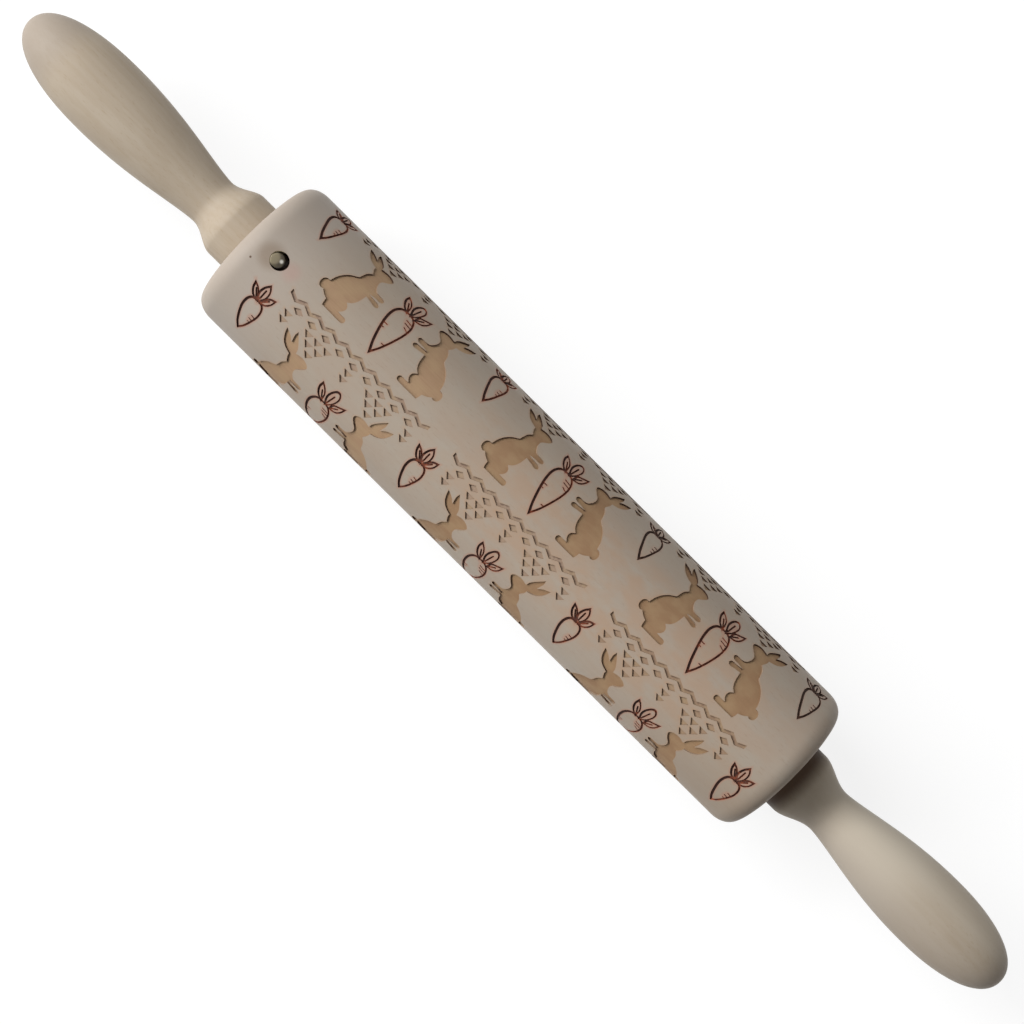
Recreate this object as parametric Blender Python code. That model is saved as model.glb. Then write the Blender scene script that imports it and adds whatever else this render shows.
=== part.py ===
"""Embossed rolling pin: a beech barrel that turns on loose beech handles.

The barrel lies along X, with the left handle at -X, and rests on the narrow flat
facet under it, at z = 0. Its side is engraved with rows of rabbits and carrots over
zigzag borders, as pockets with flat floors that follow the round surface.
Each end of the barrel is bored for a handle's spigot.
A steel pin stands in a radial hole near each end, and its tip runs in a groove
turned in the spigot, so the handle spins but can't be pulled out.
All sizes are in metres.
"""

import math
from collections import namedtuple

import bmesh
import bpy
from mathutils import Matrix, Vector
from mathutils.geometry import delaunay_2d_cdt

# Barrel
BARREL_LENGTH = 0.2345
BARREL_RADIUS = 0.02665
BARREL_SIDES = 72
RIM_LENGTH = 0.0063
RIM_DEPTH = 0.0040
RIM_STEPS = 4
BORE_RADIUS = 0.0093
BORE_DEPTH = 0.0420
BORE_CHAMFER = 0.0006
BORE_SIDES = 36

# Engraving: CELLS tiles along the barrel and ROWS round it. A tile holds two rabbits
# that face a carrot, over a zigzag band; smaller carrots stand between the tiles
# and at both ends.
ROWS = 4
CELLS = 3
PATTERN_SHIFT = 0.0029
PATTERN_MARGIN = 0.00065
ENGRAVING_DEPTH = 0.0008
ZIGZAG_WIDTH = 0.0013
LINE_WIDTH = 0.0007
BAND_MARGIN = 0.0002
FIGURE_MARGIN = 0.0012
GRID_STEP = 0.0170
GRID_SPOKES = 40

# Steel retaining pins and the radial holes that they stand in; the angles are in
# degrees about +X, from the top of the barrel
PIN_HOLE_RADIUS = 0.0030
PIN_HOLE_SIDES = 20
PIN_INSET = 0.0130
PIN_SINK = 0.0010
PIN_DOME_HEIGHT = 0.0013
PIN_DOME_STEPS = 3
PIN_TIP_CHAMFER = 0.0005
LEFT_PIN_ANGLE = -4.6
RIGHT_PIN_ANGLE = -105.0

# Clearances between the pieces
FIT_GAP = 0.0003
COLLAR_GAP = 0.0004
GROOVE_PLAY = 0.0005

# Spigots, the same on both handles
SPIGOT_END_GAP = 0.0020
SPIGOT_CHAMFER = 0.0010
GROOVE_DEPTH = 0.0025
COLLAR_CHAMFER = 0.0008
HANDLE_SIDES = 32

# Left handle, from the barrel's end face outwards
LEFT_LENGTH = 0.0999
LEFT_COLLAR_RADIUS = 0.0124
LEFT_COLLAR_LENGTH = 0.0085
LEFT_NECK_RADIUS = 0.00857
LEFT_NECK_PLACE = 0.0190
LEFT_BELLY_RADIUS = 0.01357
LEFT_BELLY_PLACE = 0.0655

# Right handle, turned a little slimmer and shorter
RIGHT_LENGTH = 0.0956
RIGHT_COLLAR_RADIUS = 0.0118
RIGHT_COLLAR_LENGTH = 0.0070
RIGHT_NECK_RADIUS = 0.0080
RIGHT_NECK_PLACE = 0.0198
RIGHT_BELLY_RADIUS = 0.01313
RIGHT_BELLY_PLACE = 0.0640

# Curves of the turned grips
COVE_STEPS = 4
SWELL_STEPS = 7
NOSE_STEPS = 8
COVE_POWER_SHARE = 0.9
SWELL_POWER_SHARE = 0.7
NOSE_POWER = 2.25

# How far a cutter runs past what it cuts
OVERRUN = 0.0020

# Points of a turned shape closer than this share of the fit gap are one point
WELD_SHARE = 0.01

# Shading: edges sharper than this stay crisp
SHARP_ANGLE = 35.0

# Colour, metallic value and roughness of each material
BARREL_FINISH = ((0.42, 0.34, 0.27, 1.0), 0.0, 0.62)
HANDLE_FINISH = ((0.50, 0.42, 0.32, 1.0), 0.0, 0.55)
STEEL_FINISH = ((0.56, 0.55, 0.53, 1.0), 1.0, 0.30)

Handle = namedtuple("Handle", "length collar_radius collar_length "
                              "neck_radius neck_place belly_radius belly_place")

LEFT_HANDLE = Handle(LEFT_LENGTH, LEFT_COLLAR_RADIUS, LEFT_COLLAR_LENGTH,
                     LEFT_NECK_RADIUS, LEFT_NECK_PLACE,
                     LEFT_BELLY_RADIUS, LEFT_BELLY_PLACE)
RIGHT_HANDLE = Handle(RIGHT_LENGTH, RIGHT_COLLAR_RADIUS, RIGHT_COLLAR_LENGTH,
                      RIGHT_NECK_RADIUS, RIGHT_NECK_PLACE,
                      RIGHT_BELLY_RADIUS, RIGHT_BELLY_PLACE)

# Rabbit that faces left, as shares of a tile: how far it is to the right of the tile's
# centre line, and how far above the line that its feet stand on. The outline runs
# from the toe up the front, over the head and ears, and down the back.
RABBIT_SHARES = (
    (0.166, 0.031), (0.215, 0.047), (0.198, 0.091), (0.217, 0.140), (0.190, 0.189),
    (0.179, 0.282), (0.119, 0.266), (0.110, 0.299), (0.176, 0.317), (0.119, 0.326),
    (0.110, 0.361), (0.160, 0.374), (0.183, 0.428), (0.180, 0.478), (0.148, 0.542),
    (0.151, 0.573), (0.183, 0.597), (0.224, 0.588), (0.240, 0.659), (0.276, 0.731),
    (0.271, 0.633), (0.327, 0.695), (0.302, 0.597), (0.248, 0.545), (0.234, 0.471),
    (0.262, 0.356), (0.309, 0.284), (0.335, 0.170), (0.360, 0.155), (0.360, 0.098),
    (0.333, 0.088), (0.292, 0.050), (0.286, 0.000), (0.176, 0.000))

# Right half of a carrot's root from its tip, and its three leaves, as shares of a tile
ROOT_SHARES = ((0.000, 0.002), (0.034, 0.130), (0.055, 0.265), (0.052, 0.385),
               (0.020, 0.437))
LEAF_SHARES = (
    ((-0.012, 0.455), (-0.044, 0.480), (-0.057, 0.573), (-0.020, 0.530)),
    ((0.008, 0.452), (0.003, 0.520), (0.028, 0.607), (0.042, 0.520)),
    ((0.032, 0.449), (0.052, 0.505), (0.094, 0.533), (0.076, 0.465)))
SMALL_CARROT_WIDTH_SHARE = 0.78
SMALL_CARROT_HEIGHT_SHARE = 0.74
SMALL_CARROT_TIP_SHARE = 0.346

# Zigzag band under a row of figures, as shares of a tile
ZIGZAG_PEAKS = 9
ZIGZAG_PITCH_SHARE = 0.084
ZIGZAG_RISE_SHARE = 0.035

# Sizes that follow from the ones above
AXIS_HEIGHT = BARREL_RADIUS * math.cos(math.pi / BARREL_SIDES)
BARREL_CENTRE_X = (LEFT_LENGTH - RIGHT_LENGTH) / 2
END_X = BARREL_LENGTH / 2
SIDE_X = END_X - RIM_LENGTH
GIRTH = math.tau * BARREL_RADIUS
FACET_HALF = GIRTH / BARREL_SIDES / 2
SEAM = FACET_HALF - GIRTH / 2
BAND_HALF = FACET_HALF + BAND_MARGIN
ROW_PITCH = GIRTH / ROWS
POST_REACH_SHARE = SMALL_CARROT_WIDTH_SHARE * max(x for leaf in LEAF_SHARES for x, up in leaf)
CELL_PITCH = (SIDE_X - PATTERN_SHIFT - PATTERN_MARGIN) / (CELLS / 2 + POST_REACH_SHARE)
PIN_X = END_X - PIN_INSET
SPIGOT_RADIUS = BORE_RADIUS - FIT_GAP
SPIGOT_LENGTH = BORE_DEPTH - SPIGOT_END_GAP
GROOVE_RADIUS = SPIGOT_RADIUS - GROOVE_DEPTH
PIN_RADIUS = PIN_HOLE_RADIUS - FIT_GAP
PIN_TOP = BARREL_RADIUS - PIN_SINK
PIN_TIP = GROOVE_RADIUS + FIT_GAP
GROOVE_HALF_WIDTH = PIN_RADIUS + GROOVE_PLAY


# Scene and material helpers

def clear_scene():
    for old in list(bpy.data.objects):
        bpy.data.objects.remove(old, do_unlink=True)


def make_material(name, finish):
    color, metallic, roughness = finish
    material = bpy.data.materials.new(name)
    material.use_nodes = True
    shader = material.node_tree.nodes["Principled BSDF"]
    shader.inputs["Base Color"].default_value = color
    shader.inputs["Metallic"].default_value = metallic
    shader.inputs["Roughness"].default_value = roughness
    material.diffuse_color = color
    return material


def tidy(mesh_builder):
    """Welds the seams of a shape and turns its faces outwards."""
    bmesh.ops.remove_doubles(mesh_builder, verts=mesh_builder.verts, dist=FIT_GAP * WELD_SHARE)
    bmesh.ops.recalc_face_normals(mesh_builder, faces=mesh_builder.faces)


def make_object(name, mesh_builder, parent, material):
    """Turns a bmesh into a smooth-shaded object of its own."""
    mesh = bpy.data.meshes.new(name)
    tidy(mesh_builder)
    mesh_builder.to_mesh(mesh)
    mesh_builder.free()
    mesh.shade_smooth()
    mesh.set_sharp_from_angle(angle=math.radians(SHARP_ANGLE))
    mesh.materials.append(material)
    piece = bpy.data.objects.new(name, mesh)
    piece.parent = parent
    bpy.context.collection.objects.link(piece)
    return piece


# Turned shapes

def turn(builder, profile, sides):
    """Revolves (x, radius) points about X, with a flat facet straight below."""
    start = -math.pi / 2 + math.pi / sides
    out = Vector((0.0, math.cos(start), math.sin(start)))
    points = [builder.verts.new(Vector((x, 0.0, 0.0)) + radius * out)
              for x, radius in profile]
    lines = [builder.edges.new(pair) for pair in zip(points, points[1:])]
    bmesh.ops.spin(builder, geom=points + lines, cent=Vector(), axis=Vector((1.0, 0.0, 0.0)),
                   angle=math.tau, steps=sides, use_merge=True)


def turned(profile, sides):
    builder = bmesh.new()
    turn(builder, profile, sides)
    return builder


def ease(share, power):
    """An S-curve from 0 to 1, pulled towards its start by a power below 1."""
    return (1 - math.cos(math.pi * share ** power)) / 2


# Engraving, drawn on the unrolled side of the barrel. A point there is (x, arc),
# and the arc runs round from the top of the barrel, right-handed about +X.

def figure_place(centre_x, line, share_x, share_up):
    """A point of a figure that stands on a row's line."""
    return (centre_x + share_x * CELL_PITCH,
            line - BAND_HALF - share_up * ROW_PITCH)


def border_place(centre_x, line, share_x, share_down):
    """A point of the border that hangs under a row's line."""
    return (centre_x + share_x * CELL_PITCH,
            line + BAND_HALF + share_down * ROW_PITCH)


def inset(loop, width):
    """The same closed outline, moved in by a width."""
    area = sum(a[0] * b[1] - b[0] * a[1] for a, b in zip(loop, loop[1:] + loop[:1]))
    side = math.copysign(1, area)
    moved = []
    for before, here, after in zip(loop[-1:] + loop[:-1], loop, loop[1:] + loop[:1]):
        first = (Vector(here) - Vector(before)).normalized()
        second = (Vector(after) - Vector(here)).normalized()
        normal = Vector((-first.y - second.y, first.x + second.x)).normalized()
        lean = normal.dot(Vector((-first.y, first.x)))
        moved.append(tuple(Vector(here) + normal * side * width / lean))
    return moved


def rabbit_loop(centre_x, line, side):
    return [figure_place(centre_x, line, side * x, up) for x, up in RABBIT_SHARES]


def carrot_loops(centre_x, line, width_share, height_share, lift_share):
    """A root drawn as a grooved outline, and three leaves cut out whole."""
    right = [(x, up) for x, up in ROOT_SHARES]
    left = [(-x, up) for x, up in reversed(ROOT_SHARES[1:])]
    root = [figure_place(centre_x, line, x * width_share, lift_share + up * height_share)
            for x, up in right + left]
    leaves = [[figure_place(centre_x, line, x * width_share, lift_share + up * height_share)
               for x, up in leaf] for leaf in LEAF_SHARES]
    return [root, inset(root, LINE_WIDTH)] + leaves


def zigzag_loop(centre_x, line):
    """A band of even width whose ends run up past its last full peaks."""
    upper = []
    for half_step in range(-ZIGZAG_PEAKS - 1, ZIGZAG_PEAKS + 2):
        drop = ZIGZAG_RISE_SHARE * (half_step % 2)
        upper.append(border_place(centre_x, line, half_step * ZIGZAG_PITCH_SHARE / 2, drop))
    lower = [(x, arc + ZIGZAG_WIDTH) for x, arc in reversed(upper)]
    return upper + lower


def pattern_loops():
    """Every outline of the engraving; a loop inside another is left standing."""
    loops = []
    first_row = 1 - ROWS // 2
    for row in range(first_row, first_row + ROWS):
        figure_line = row * ROW_PITCH
        border_line = (row - 1) * ROW_PITCH
        for cell in range(CELLS):
            centre_x = (cell - (CELLS - 1) / 2) * CELL_PITCH + PATTERN_SHIFT
            loops += [rabbit_loop(centre_x, figure_line, side) for side in (-1, 1)]
            loops += carrot_loops(centre_x, figure_line, 1, 1, 0)
            loops.append(zigzag_loop(centre_x, border_line))
        for post in range(CELLS + 1):
            centre_x = (post - CELLS / 2) * CELL_PITCH + PATTERN_SHIFT
            loops += carrot_loops(centre_x, figure_line, SMALL_CARROT_WIDTH_SHARE,
                                  SMALL_CARROT_HEIGHT_SHARE, SMALL_CARROT_TIP_SHARE)
    return loops


def plain_points(loops):
    """A loose grid over the plain stretches, so that they stay round."""
    boxes = []
    for loop in loops:
        xs, arcs = zip(*loop)
        boxes.append((min(xs) - FIGURE_MARGIN, max(xs) + FIGURE_MARGIN,
                      min(arcs) - FIGURE_MARGIN, max(arcs) + FIGURE_MARGIN))
    columns = round(2 * SIDE_X / GRID_STEP)
    points = []
    for column in range(1, columns):
        x = -SIDE_X + 2 * SIDE_X * column / columns
        for spoke in range(1, GRID_SPOKES):
            arc = SEAM + FACET_HALF + (GIRTH - 3 * FACET_HALF) * spoke / GRID_SPOKES
            if not any(low_x < x < high_x and low_arc < arc < high_arc
                       for low_x, high_x, low_arc, high_arc in boxes):
                points.append((x, arc))
    return points


def outer_points():
    """Outline of the unrolled side, and the two long edges of the resting facet."""
    ring = [SEAM + GIRTH * side / BARREL_SIDES for side in range(BARREL_SIDES + 1)]
    points = [(-SIDE_X, arc) for arc in ring] + [(SIDE_X, arc) for arc in ring]
    last = BARREL_SIDES
    across = len(ring)
    edges = [(side, side + 1) for side in range(last)]
    edges += [(across + side, across + side + 1) for side in range(last)]
    edges += [(side, across + side) for side in (0, last - 1, last)]
    return points, edges


def wrap(x, arc, radius):
    angle = arc / BARREL_RADIUS
    return Vector((x, -radius * math.sin(angle), radius * math.cos(angle)))


def engrave_side(builder):
    """The barrel's side: plain surface, sunken floors, and walls between them."""
    loops = pattern_loops()
    points, edges = outer_points()
    points += plain_points(loops)
    outlines = []
    for loop in loops:
        outlines.append(list(range(len(points), len(points) + len(loop))))
        points += loop
    places, _, faces, _, _, owners = delaunay_2d_cdt(
        [Vector(point) for point in points], edges, outlines, 0, FIT_GAP * WELD_SHARE, True)
    sunken = [len(owner) % 2 == 1 for owner in owners]
    corners = {}

    def corner(index, is_sunken):
        if (index, is_sunken) not in corners:
            radius = BARREL_RADIUS - (ENGRAVING_DEPTH if is_sunken else 0.0)
            corners[index, is_sunken] = builder.verts.new(wrap(*places[index], radius))
        return corners[index, is_sunken]

    level_beside = {}
    for face, is_sunken in zip(faces, sunken):
        builder.faces.new([corner(index, is_sunken) for index in face])
        for start, end in zip(face, face[1:] + face[:1]):
            level_beside[start, end] = is_sunken
    for (start, end), is_sunken in level_beside.items():
        if is_sunken and not level_beside[end, start]:
            builder.faces.new([corner(end, True), corner(start, True),
                               corner(start, False), corner(end, False)])


# Barrel

def end_points(direction):
    """One end of the billet, from its centre out round the rim to the side."""
    end_x = direction * END_X
    points = [(end_x, 0.0)]
    for step in range(RIM_STEPS + 1):
        turn_angle = math.pi / 2 * step / RIM_STEPS
        x = end_x - direction * RIM_LENGTH * (1 - math.cos(turn_angle))
        radius = BARREL_RADIUS - RIM_DEPTH * (1 - math.sin(turn_angle))
        points.append((x, radius))
    return points


def bore_points():
    """Half outline of a bore about its own axis, from its floor past its mouth."""
    mouth_radius = BORE_RADIUS + BORE_CHAMFER
    return [(-BORE_DEPTH, 0.0), (-BORE_DEPTH, BORE_RADIUS), (-BORE_CHAMFER, BORE_RADIUS),
            (0.0, mouth_radius), (OVERRUN, mouth_radius), (OVERRUN, 0.0)]


def pin_hole_points():
    """Half outline of a pin hole, from the barrel's axis out past its side."""
    reach = BARREL_RADIUS + OVERRUN
    return [(0.0, 0.0), (0.0, PIN_HOLE_RADIUS), (reach, PIN_HOLE_RADIUS), (reach, 0.0)]


def radial_place(x, angle_degrees):
    """Frame whose +X points out of the barrel at x, turned from the top about +X."""
    stand_up = Matrix.Rotation(-math.pi / 2, 4, "Y")
    around = Matrix.Rotation(math.radians(angle_degrees), 4, "X")
    return Matrix.Translation((x, 0.0, 0.0)) @ around @ stand_up


def end_place(direction):
    """Frame whose +X points out of one end of the barrel, with its origin there."""
    turned_round = Matrix.Rotation(0.0 if direction > 0 else math.pi, 4, "Z")
    return Matrix.Translation((direction * END_X, 0.0, 0.0)) @ turned_round


def drill(barrel, name, profile, sides, place):
    """Cuts a turned shape out of the barrel."""
    mesh = bpy.data.meshes.new(name)
    builder = turned(profile, sides)
    tidy(builder)
    builder.to_mesh(mesh)
    builder.free()
    cutter = bpy.data.objects.new(name, mesh)
    cutter.parent = barrel
    cutter.matrix_local = place
    cutter.hide_render = True
    cutter.display_type = "WIRE"
    bpy.context.collection.objects.link(cutter)
    cut = barrel.modifiers.new(name, "BOOLEAN")
    cut.operation = "DIFFERENCE"
    cut.solver = "EXACT"
    cut.object = cutter


def make_barrel(parent, material):
    builder = bmesh.new()
    for direction in (-1, 1):
        turn(builder, end_points(direction), BARREL_SIDES)
    engrave_side(builder)
    barrel = make_object("barrel", builder, parent, material)
    drill(barrel, "left_bore", bore_points(), BORE_SIDES, end_place(-1))
    drill(barrel, "right_bore", bore_points(), BORE_SIDES, end_place(1))
    drill(barrel, "left_pin_hole", pin_hole_points(), PIN_HOLE_SIDES,
          radial_place(-PIN_X, LEFT_PIN_ANGLE))
    drill(barrel, "right_pin_hole", pin_hole_points(), PIN_HOLE_SIDES,
          radial_place(PIN_X, RIGHT_PIN_ANGLE))
    return barrel


# Handles

def spigot_points():
    """Spigot inside the barrel, with the groove that the steel pin's tip runs in."""
    groove_inner = -PIN_INSET - GROOVE_HALF_WIDTH
    groove_outer = -PIN_INSET + GROOVE_HALF_WIDTH
    return [(-SPIGOT_LENGTH, 0.0),
            (-SPIGOT_LENGTH, SPIGOT_RADIUS - SPIGOT_CHAMFER),
            (-SPIGOT_LENGTH + SPIGOT_CHAMFER, SPIGOT_RADIUS),
            (groove_inner, SPIGOT_RADIUS),
            (groove_inner, GROOVE_RADIUS),
            (groove_outer, GROOVE_RADIUS),
            (groove_outer, SPIGOT_RADIUS),
            (COLLAR_GAP, SPIGOT_RADIUS)]


def grip_points(handle):
    """Collar, cove, neck, swelling belly and rounded nose of one handle."""
    points = [(COLLAR_GAP, handle.collar_radius - COLLAR_CHAMFER),
              (COLLAR_GAP + COLLAR_CHAMFER, handle.collar_radius)]
    cove_run = handle.neck_place - handle.collar_length
    cove_fall = handle.collar_radius - handle.neck_radius
    for step in range(COVE_STEPS):
        share = step / COVE_STEPS
        points.append((handle.collar_length + cove_run * share,
                       handle.collar_radius - cove_fall * ease(share, COVE_POWER_SHARE)))
    swell_run = handle.belly_place - handle.neck_place
    swell_rise = handle.belly_radius - handle.neck_radius
    for step in range(SWELL_STEPS):
        share = step / SWELL_STEPS
        points.append((handle.neck_place + swell_run * share,
                       handle.neck_radius + swell_rise * ease(share, SWELL_POWER_SHARE)))
    nose_run = handle.length - handle.belly_place
    for step in range(NOSE_STEPS + 1):
        turn_angle = math.pi / 2 * step / NOSE_STEPS
        along = math.sin(turn_angle) ** (2 / NOSE_POWER)
        across = max(math.cos(turn_angle), 0.0) ** (2 / NOSE_POWER)
        points.append((handle.belly_place + nose_run * along,
                       handle.belly_radius * across))
    points[-1] = (handle.length, 0.0)
    return points


def make_handle(name, handle, direction, parent, material):
    """One turned handle, whose origin is on its spin axis at the barrel's end face."""
    builder = turned(spigot_points() + grip_points(handle), HANDLE_SIDES)
    piece = make_object(name, builder, parent, material)
    piece.matrix_local = end_place(direction)
    return piece


# Steel pins

def pin_points():
    """Half outline of a pin about its own axis: chamfered tip to domed top."""
    points = [(PIN_TIP, 0.0),
              (PIN_TIP, PIN_RADIUS - PIN_TIP_CHAMFER),
              (PIN_TIP + PIN_TIP_CHAMFER, PIN_RADIUS)]
    for step in range(PIN_DOME_STEPS + 1):
        turn_angle = math.pi / 2 * step / PIN_DOME_STEPS
        points.append((PIN_TOP - PIN_DOME_HEIGHT * (1 - math.sin(turn_angle)),
                       PIN_RADIUS * math.cos(turn_angle)))
    points[-1] = (PIN_TOP, 0.0)
    return points


def make_pin(name, x, angle_degrees, parent, material):
    """A pin that stands in its radial hole; its local X is the hole's axis."""
    piece = make_object(name, turned(pin_points(), PIN_HOLE_SIDES), parent, material)
    piece.matrix_local = radial_place(x, angle_degrees)
    return piece


def main():
    clear_scene()
    barrel_wood = make_material("barrel_beech", BARREL_FINISH)
    handle_wood = make_material("handle_beech", HANDLE_FINISH)
    steel = make_material("bright_steel", STEEL_FINISH)

    axis = bpy.data.objects.new("rolling_pin_axis", None)
    axis.location = (BARREL_CENTRE_X, 0.0, AXIS_HEIGHT)
    bpy.context.collection.objects.link(axis)

    make_barrel(axis, barrel_wood)
    make_handle("left_handle", LEFT_HANDLE, -1, axis, handle_wood)
    make_handle("right_handle", RIGHT_HANDLE, 1, axis, handle_wood)
    make_pin("left_pin", -PIN_X, LEFT_PIN_ANGLE, axis, steel)
    make_pin("right_pin", PIN_X, RIGHT_PIN_ANGLE, axis, steel)


if __name__ == "__main__":
    main()
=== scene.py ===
"""Embossed rolling pin: its finished pieces and its studio, around the packed CAD part.

The file is laid out as a Blender add-on and is run as a script. Each operator makes one
piece or one group of like pieces, or the stage. Lengths are in metres, in the frame of
the CAD part: the barrel's axis runs along X, and the floor is at z = 0.
"""

import math
from collections import Counter, defaultdict, namedtuple

import bmesh
import bpy
from bpy.props import (FloatProperty, FloatVectorProperty, IntProperty,
                       PointerProperty)
from mathutils import Matrix, Vector
from mathutils.geometry import delaunay_2d_cdt
from mathutils.kdtree import KDTree


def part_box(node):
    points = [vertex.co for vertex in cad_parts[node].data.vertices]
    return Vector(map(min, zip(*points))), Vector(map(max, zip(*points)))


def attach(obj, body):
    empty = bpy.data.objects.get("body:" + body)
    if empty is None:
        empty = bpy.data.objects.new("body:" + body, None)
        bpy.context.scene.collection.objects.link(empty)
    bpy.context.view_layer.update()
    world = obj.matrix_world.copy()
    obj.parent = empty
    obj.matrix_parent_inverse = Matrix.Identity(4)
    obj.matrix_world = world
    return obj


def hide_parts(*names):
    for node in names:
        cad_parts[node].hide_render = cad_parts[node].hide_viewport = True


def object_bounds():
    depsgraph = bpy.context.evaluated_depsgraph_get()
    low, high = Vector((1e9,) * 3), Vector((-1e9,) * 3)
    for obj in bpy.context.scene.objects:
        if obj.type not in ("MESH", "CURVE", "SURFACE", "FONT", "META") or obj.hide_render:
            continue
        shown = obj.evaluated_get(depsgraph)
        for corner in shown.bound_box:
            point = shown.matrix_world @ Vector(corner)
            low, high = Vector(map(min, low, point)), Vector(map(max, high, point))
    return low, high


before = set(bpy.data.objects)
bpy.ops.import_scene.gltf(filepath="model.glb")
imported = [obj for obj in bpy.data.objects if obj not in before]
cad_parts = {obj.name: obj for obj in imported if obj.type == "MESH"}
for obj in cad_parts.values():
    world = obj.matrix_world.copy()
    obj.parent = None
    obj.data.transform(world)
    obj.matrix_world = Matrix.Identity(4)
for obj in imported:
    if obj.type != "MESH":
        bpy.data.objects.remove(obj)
cad_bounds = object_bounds()

bl_info = {
    "name": "Embossed rolling pin",
    "version": (1, 0, 0),
    "blender": (4, 5, 0),
    "location": "View3D > Sidebar > Rolling Pin",
    "description": "Beech rolling pin with an engraved barrel and loose turned handles",
    "category": "Object",
}

MM = 0.001

# What the packed part gives: the line that everything turns about, and the barrel's ends
HANDLE_LOW, HANDLE_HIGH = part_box("left_handle")
BARREL_LOW, BARREL_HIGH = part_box("barrel")
AXIS_HEIGHT = (HANDLE_LOW.z + HANDLE_HIGH.z) / 2
BARREL_LENGTH = BARREL_HIGH.x - BARREL_LOW.x
BARREL_MIDDLE = (BARREL_HIGH.x + BARREL_LOW.x) / 2
LEFT_HANDLE_LENGTH = BARREL_LOW.x - cad_bounds[0].x

# The right handle is turned a little slimmer and shorter than the left one
RIGHT_HANDLE_SIZES = {
    "length": cad_bounds[1].x - BARREL_HIGH.x, "collar_radius": 0.0118,
    "collar_length": 0.0070, "neck_radius": 0.0080, "neck_place": 0.0198,
    "belly_radius": 0.01313, "belly_place": 0.0640}

# How finely the meshes are drawn: a weld in metres, a crease in degrees, the steps of each
# round stretch, and the outlines' steps in millimetres
WELD = 1e-6
SHARP_ANGLE = 35.0
RIM_STEPS = 14
CHAMFER_STEPS = 6
COVE_STEPS = 24
SWELL_STEPS = 44
NOSE_STEPS = 40
DOME_STEPS = 14
OUTLINE_STEP = 0.45
EDGE_STEP = 0.9
MITRE_LIMIT = 0.25

# Gaps from the outlines to the rings and the grid beside them, as shares of the halo's
# width, and how far every other column of the grid is set off, as a share of a step
RING_GAP_SHARE = 0.9
GRID_GAP_SHARE = 0.75
GRID_STAGGER_SHARE = 0.5

# Curves of a handle: a power below 1 pulls a run towards its start, and the nose is a
# superellipse of its power
COVE_POWER = 0.9
SWELL_POWER = 0.7
NOSE_POWER = 2.25

# Which way a pin is knocked, seen along its own axis, and the axis that it leans about
LEAN_TOWARDS = Vector((0.0, -0.39, 0.92))
LEAN_AXIS = Vector((1.0, 0.0, 0.0)).cross(LEAN_TOWARDS)
DRILL_OVERRUN = 2 * MM

# Zones of the barrel's mesh, each with a finish of its own
ZONE_LABELS = ("Sanded wood", "Pocket floor", "Border floor", "Pocket wall", "Groove")
WOOD, POCKET_FLOOR, BORDER_FLOOR, POCKET_WALL, GROOVE = range(len(ZONE_LABELS))
ZONE = "zone"
# Scorch beside a pocket, with painted shade at the figure's -X side
POCKET_SCORCH_AND_SHADE = "pocket_scorch"
GROOVE_SCORCH = "groove_scorch"
# Char along a drawn line, with painted shade at its -X side
LINE_CHAR_AND_SHADE = "line_char"

# Figures of the engraving, in millimetres: to the right of the tile's middle, and up
# from the line that the figures stand on. An outline is round except at its corners.
RABBIT = ((11.3, 0.4), (11.2, 1.2), (11.7, 1.8), (13.6, 1.85), (14.7, 1.95), (13.9, 2.8),
          (13.5, 3.8), (13.75, 4.9), (14.8, 5.85), (13.7, 6.75), (13.0, 7.9), (12.55, 9.3),
          (12.35, 10.7), (12.2, 11.8), (10.0, 11.45), (8.1, 11.15), (7.35, 11.85),
          (7.85, 12.65), (10.0, 12.95), (12.0, 13.25), (10.0, 13.55), (8.1, 13.65),
          (7.35, 14.4), (7.85, 15.25), (10.9, 15.65), (12.0, 16.9), (12.55, 18.6),
          (12.3, 20.0), (11.2, 21.2), (10.1, 22.7), (10.0, 23.6), (10.9, 24.55),
          (12.9, 25.1), (15.3, 24.6), (15.7, 26.3), (17.0, 28.3), (18.85, 30.6),
          (19.05, 29.0), (18.5, 26.5), (20.2, 28.0), (22.3, 29.1), (21.7, 27.0),
          (20.6, 25.0), (19.1, 23.7), (16.95, 22.8), (16.8, 21.6), (15.95, 19.7),
          (17.1, 18.0), (17.6, 16.0), (17.9, 14.9), (20.1, 13.1), (21.6, 11.1),
          (22.5, 9.1), (22.95, 7.1), (24.0, 7.0), (24.85, 6.0), (24.7, 4.2), (23.5, 3.45),
          (22.7, 3.8), (21.4, 2.8), (19.95, 2.15), (19.8, 1.0), (19.5, 0.0), (12.0, 0.0))
RABBIT_CORNERS = {4, 8, 13, 19, 33, 36, 38, 40, 44, 46, 53, 58, 60, 62}
HALF_CARROT_ROOT = ((0.0, 0.1), (1.5, 3.2), (3.0, 7.8), (3.85, 12.0), (3.75, 15.4),
                    (2.6, 17.7), (1.2, 18.4))
CARROT_LEAVES = (
    ((-0.7, 18.2), (-2.6, 19.7), (-3.7, 22.2), (-3.5, 24.3), (-2.0, 23.0), (-1.0, 21.2)),
    ((0.9, 18.2), (0.0, 21.4), (0.6, 24.2), (2.1, 25.7), (3.3, 24.5), (3.3, 22.4),
     (2.3, 19.8)),
    ((2.7, 18.2), (3.2, 20.5), (4.8, 21.5), (6.7, 22.5), (6.1, 20.4), (4.8, 18.8)))
CARROT_VEINS = (((-0.9, 19.0), (-1.6, 20.5), (-2.3, 22.0)),
                ((1.1, 19.2), (1.5, 21.4), (1.9, 23.4)),
                ((3.2, 18.9), (4.1, 19.8), (5.0, 20.6)))
CARROT_NICKS = (((1.1, 16.1), (3.3, 15.8)), ((1.3, 14.9), (3.5, 14.6)),
                ((2.1, 13.5), (3.7, 12.9)), ((-3.7, 10.0), (-1.9, 10.1)),
                ((-3.4, 8.6), (-2.2, 8.6)), ((0.9, 4.5), (2.2, 4.6)))
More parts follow.
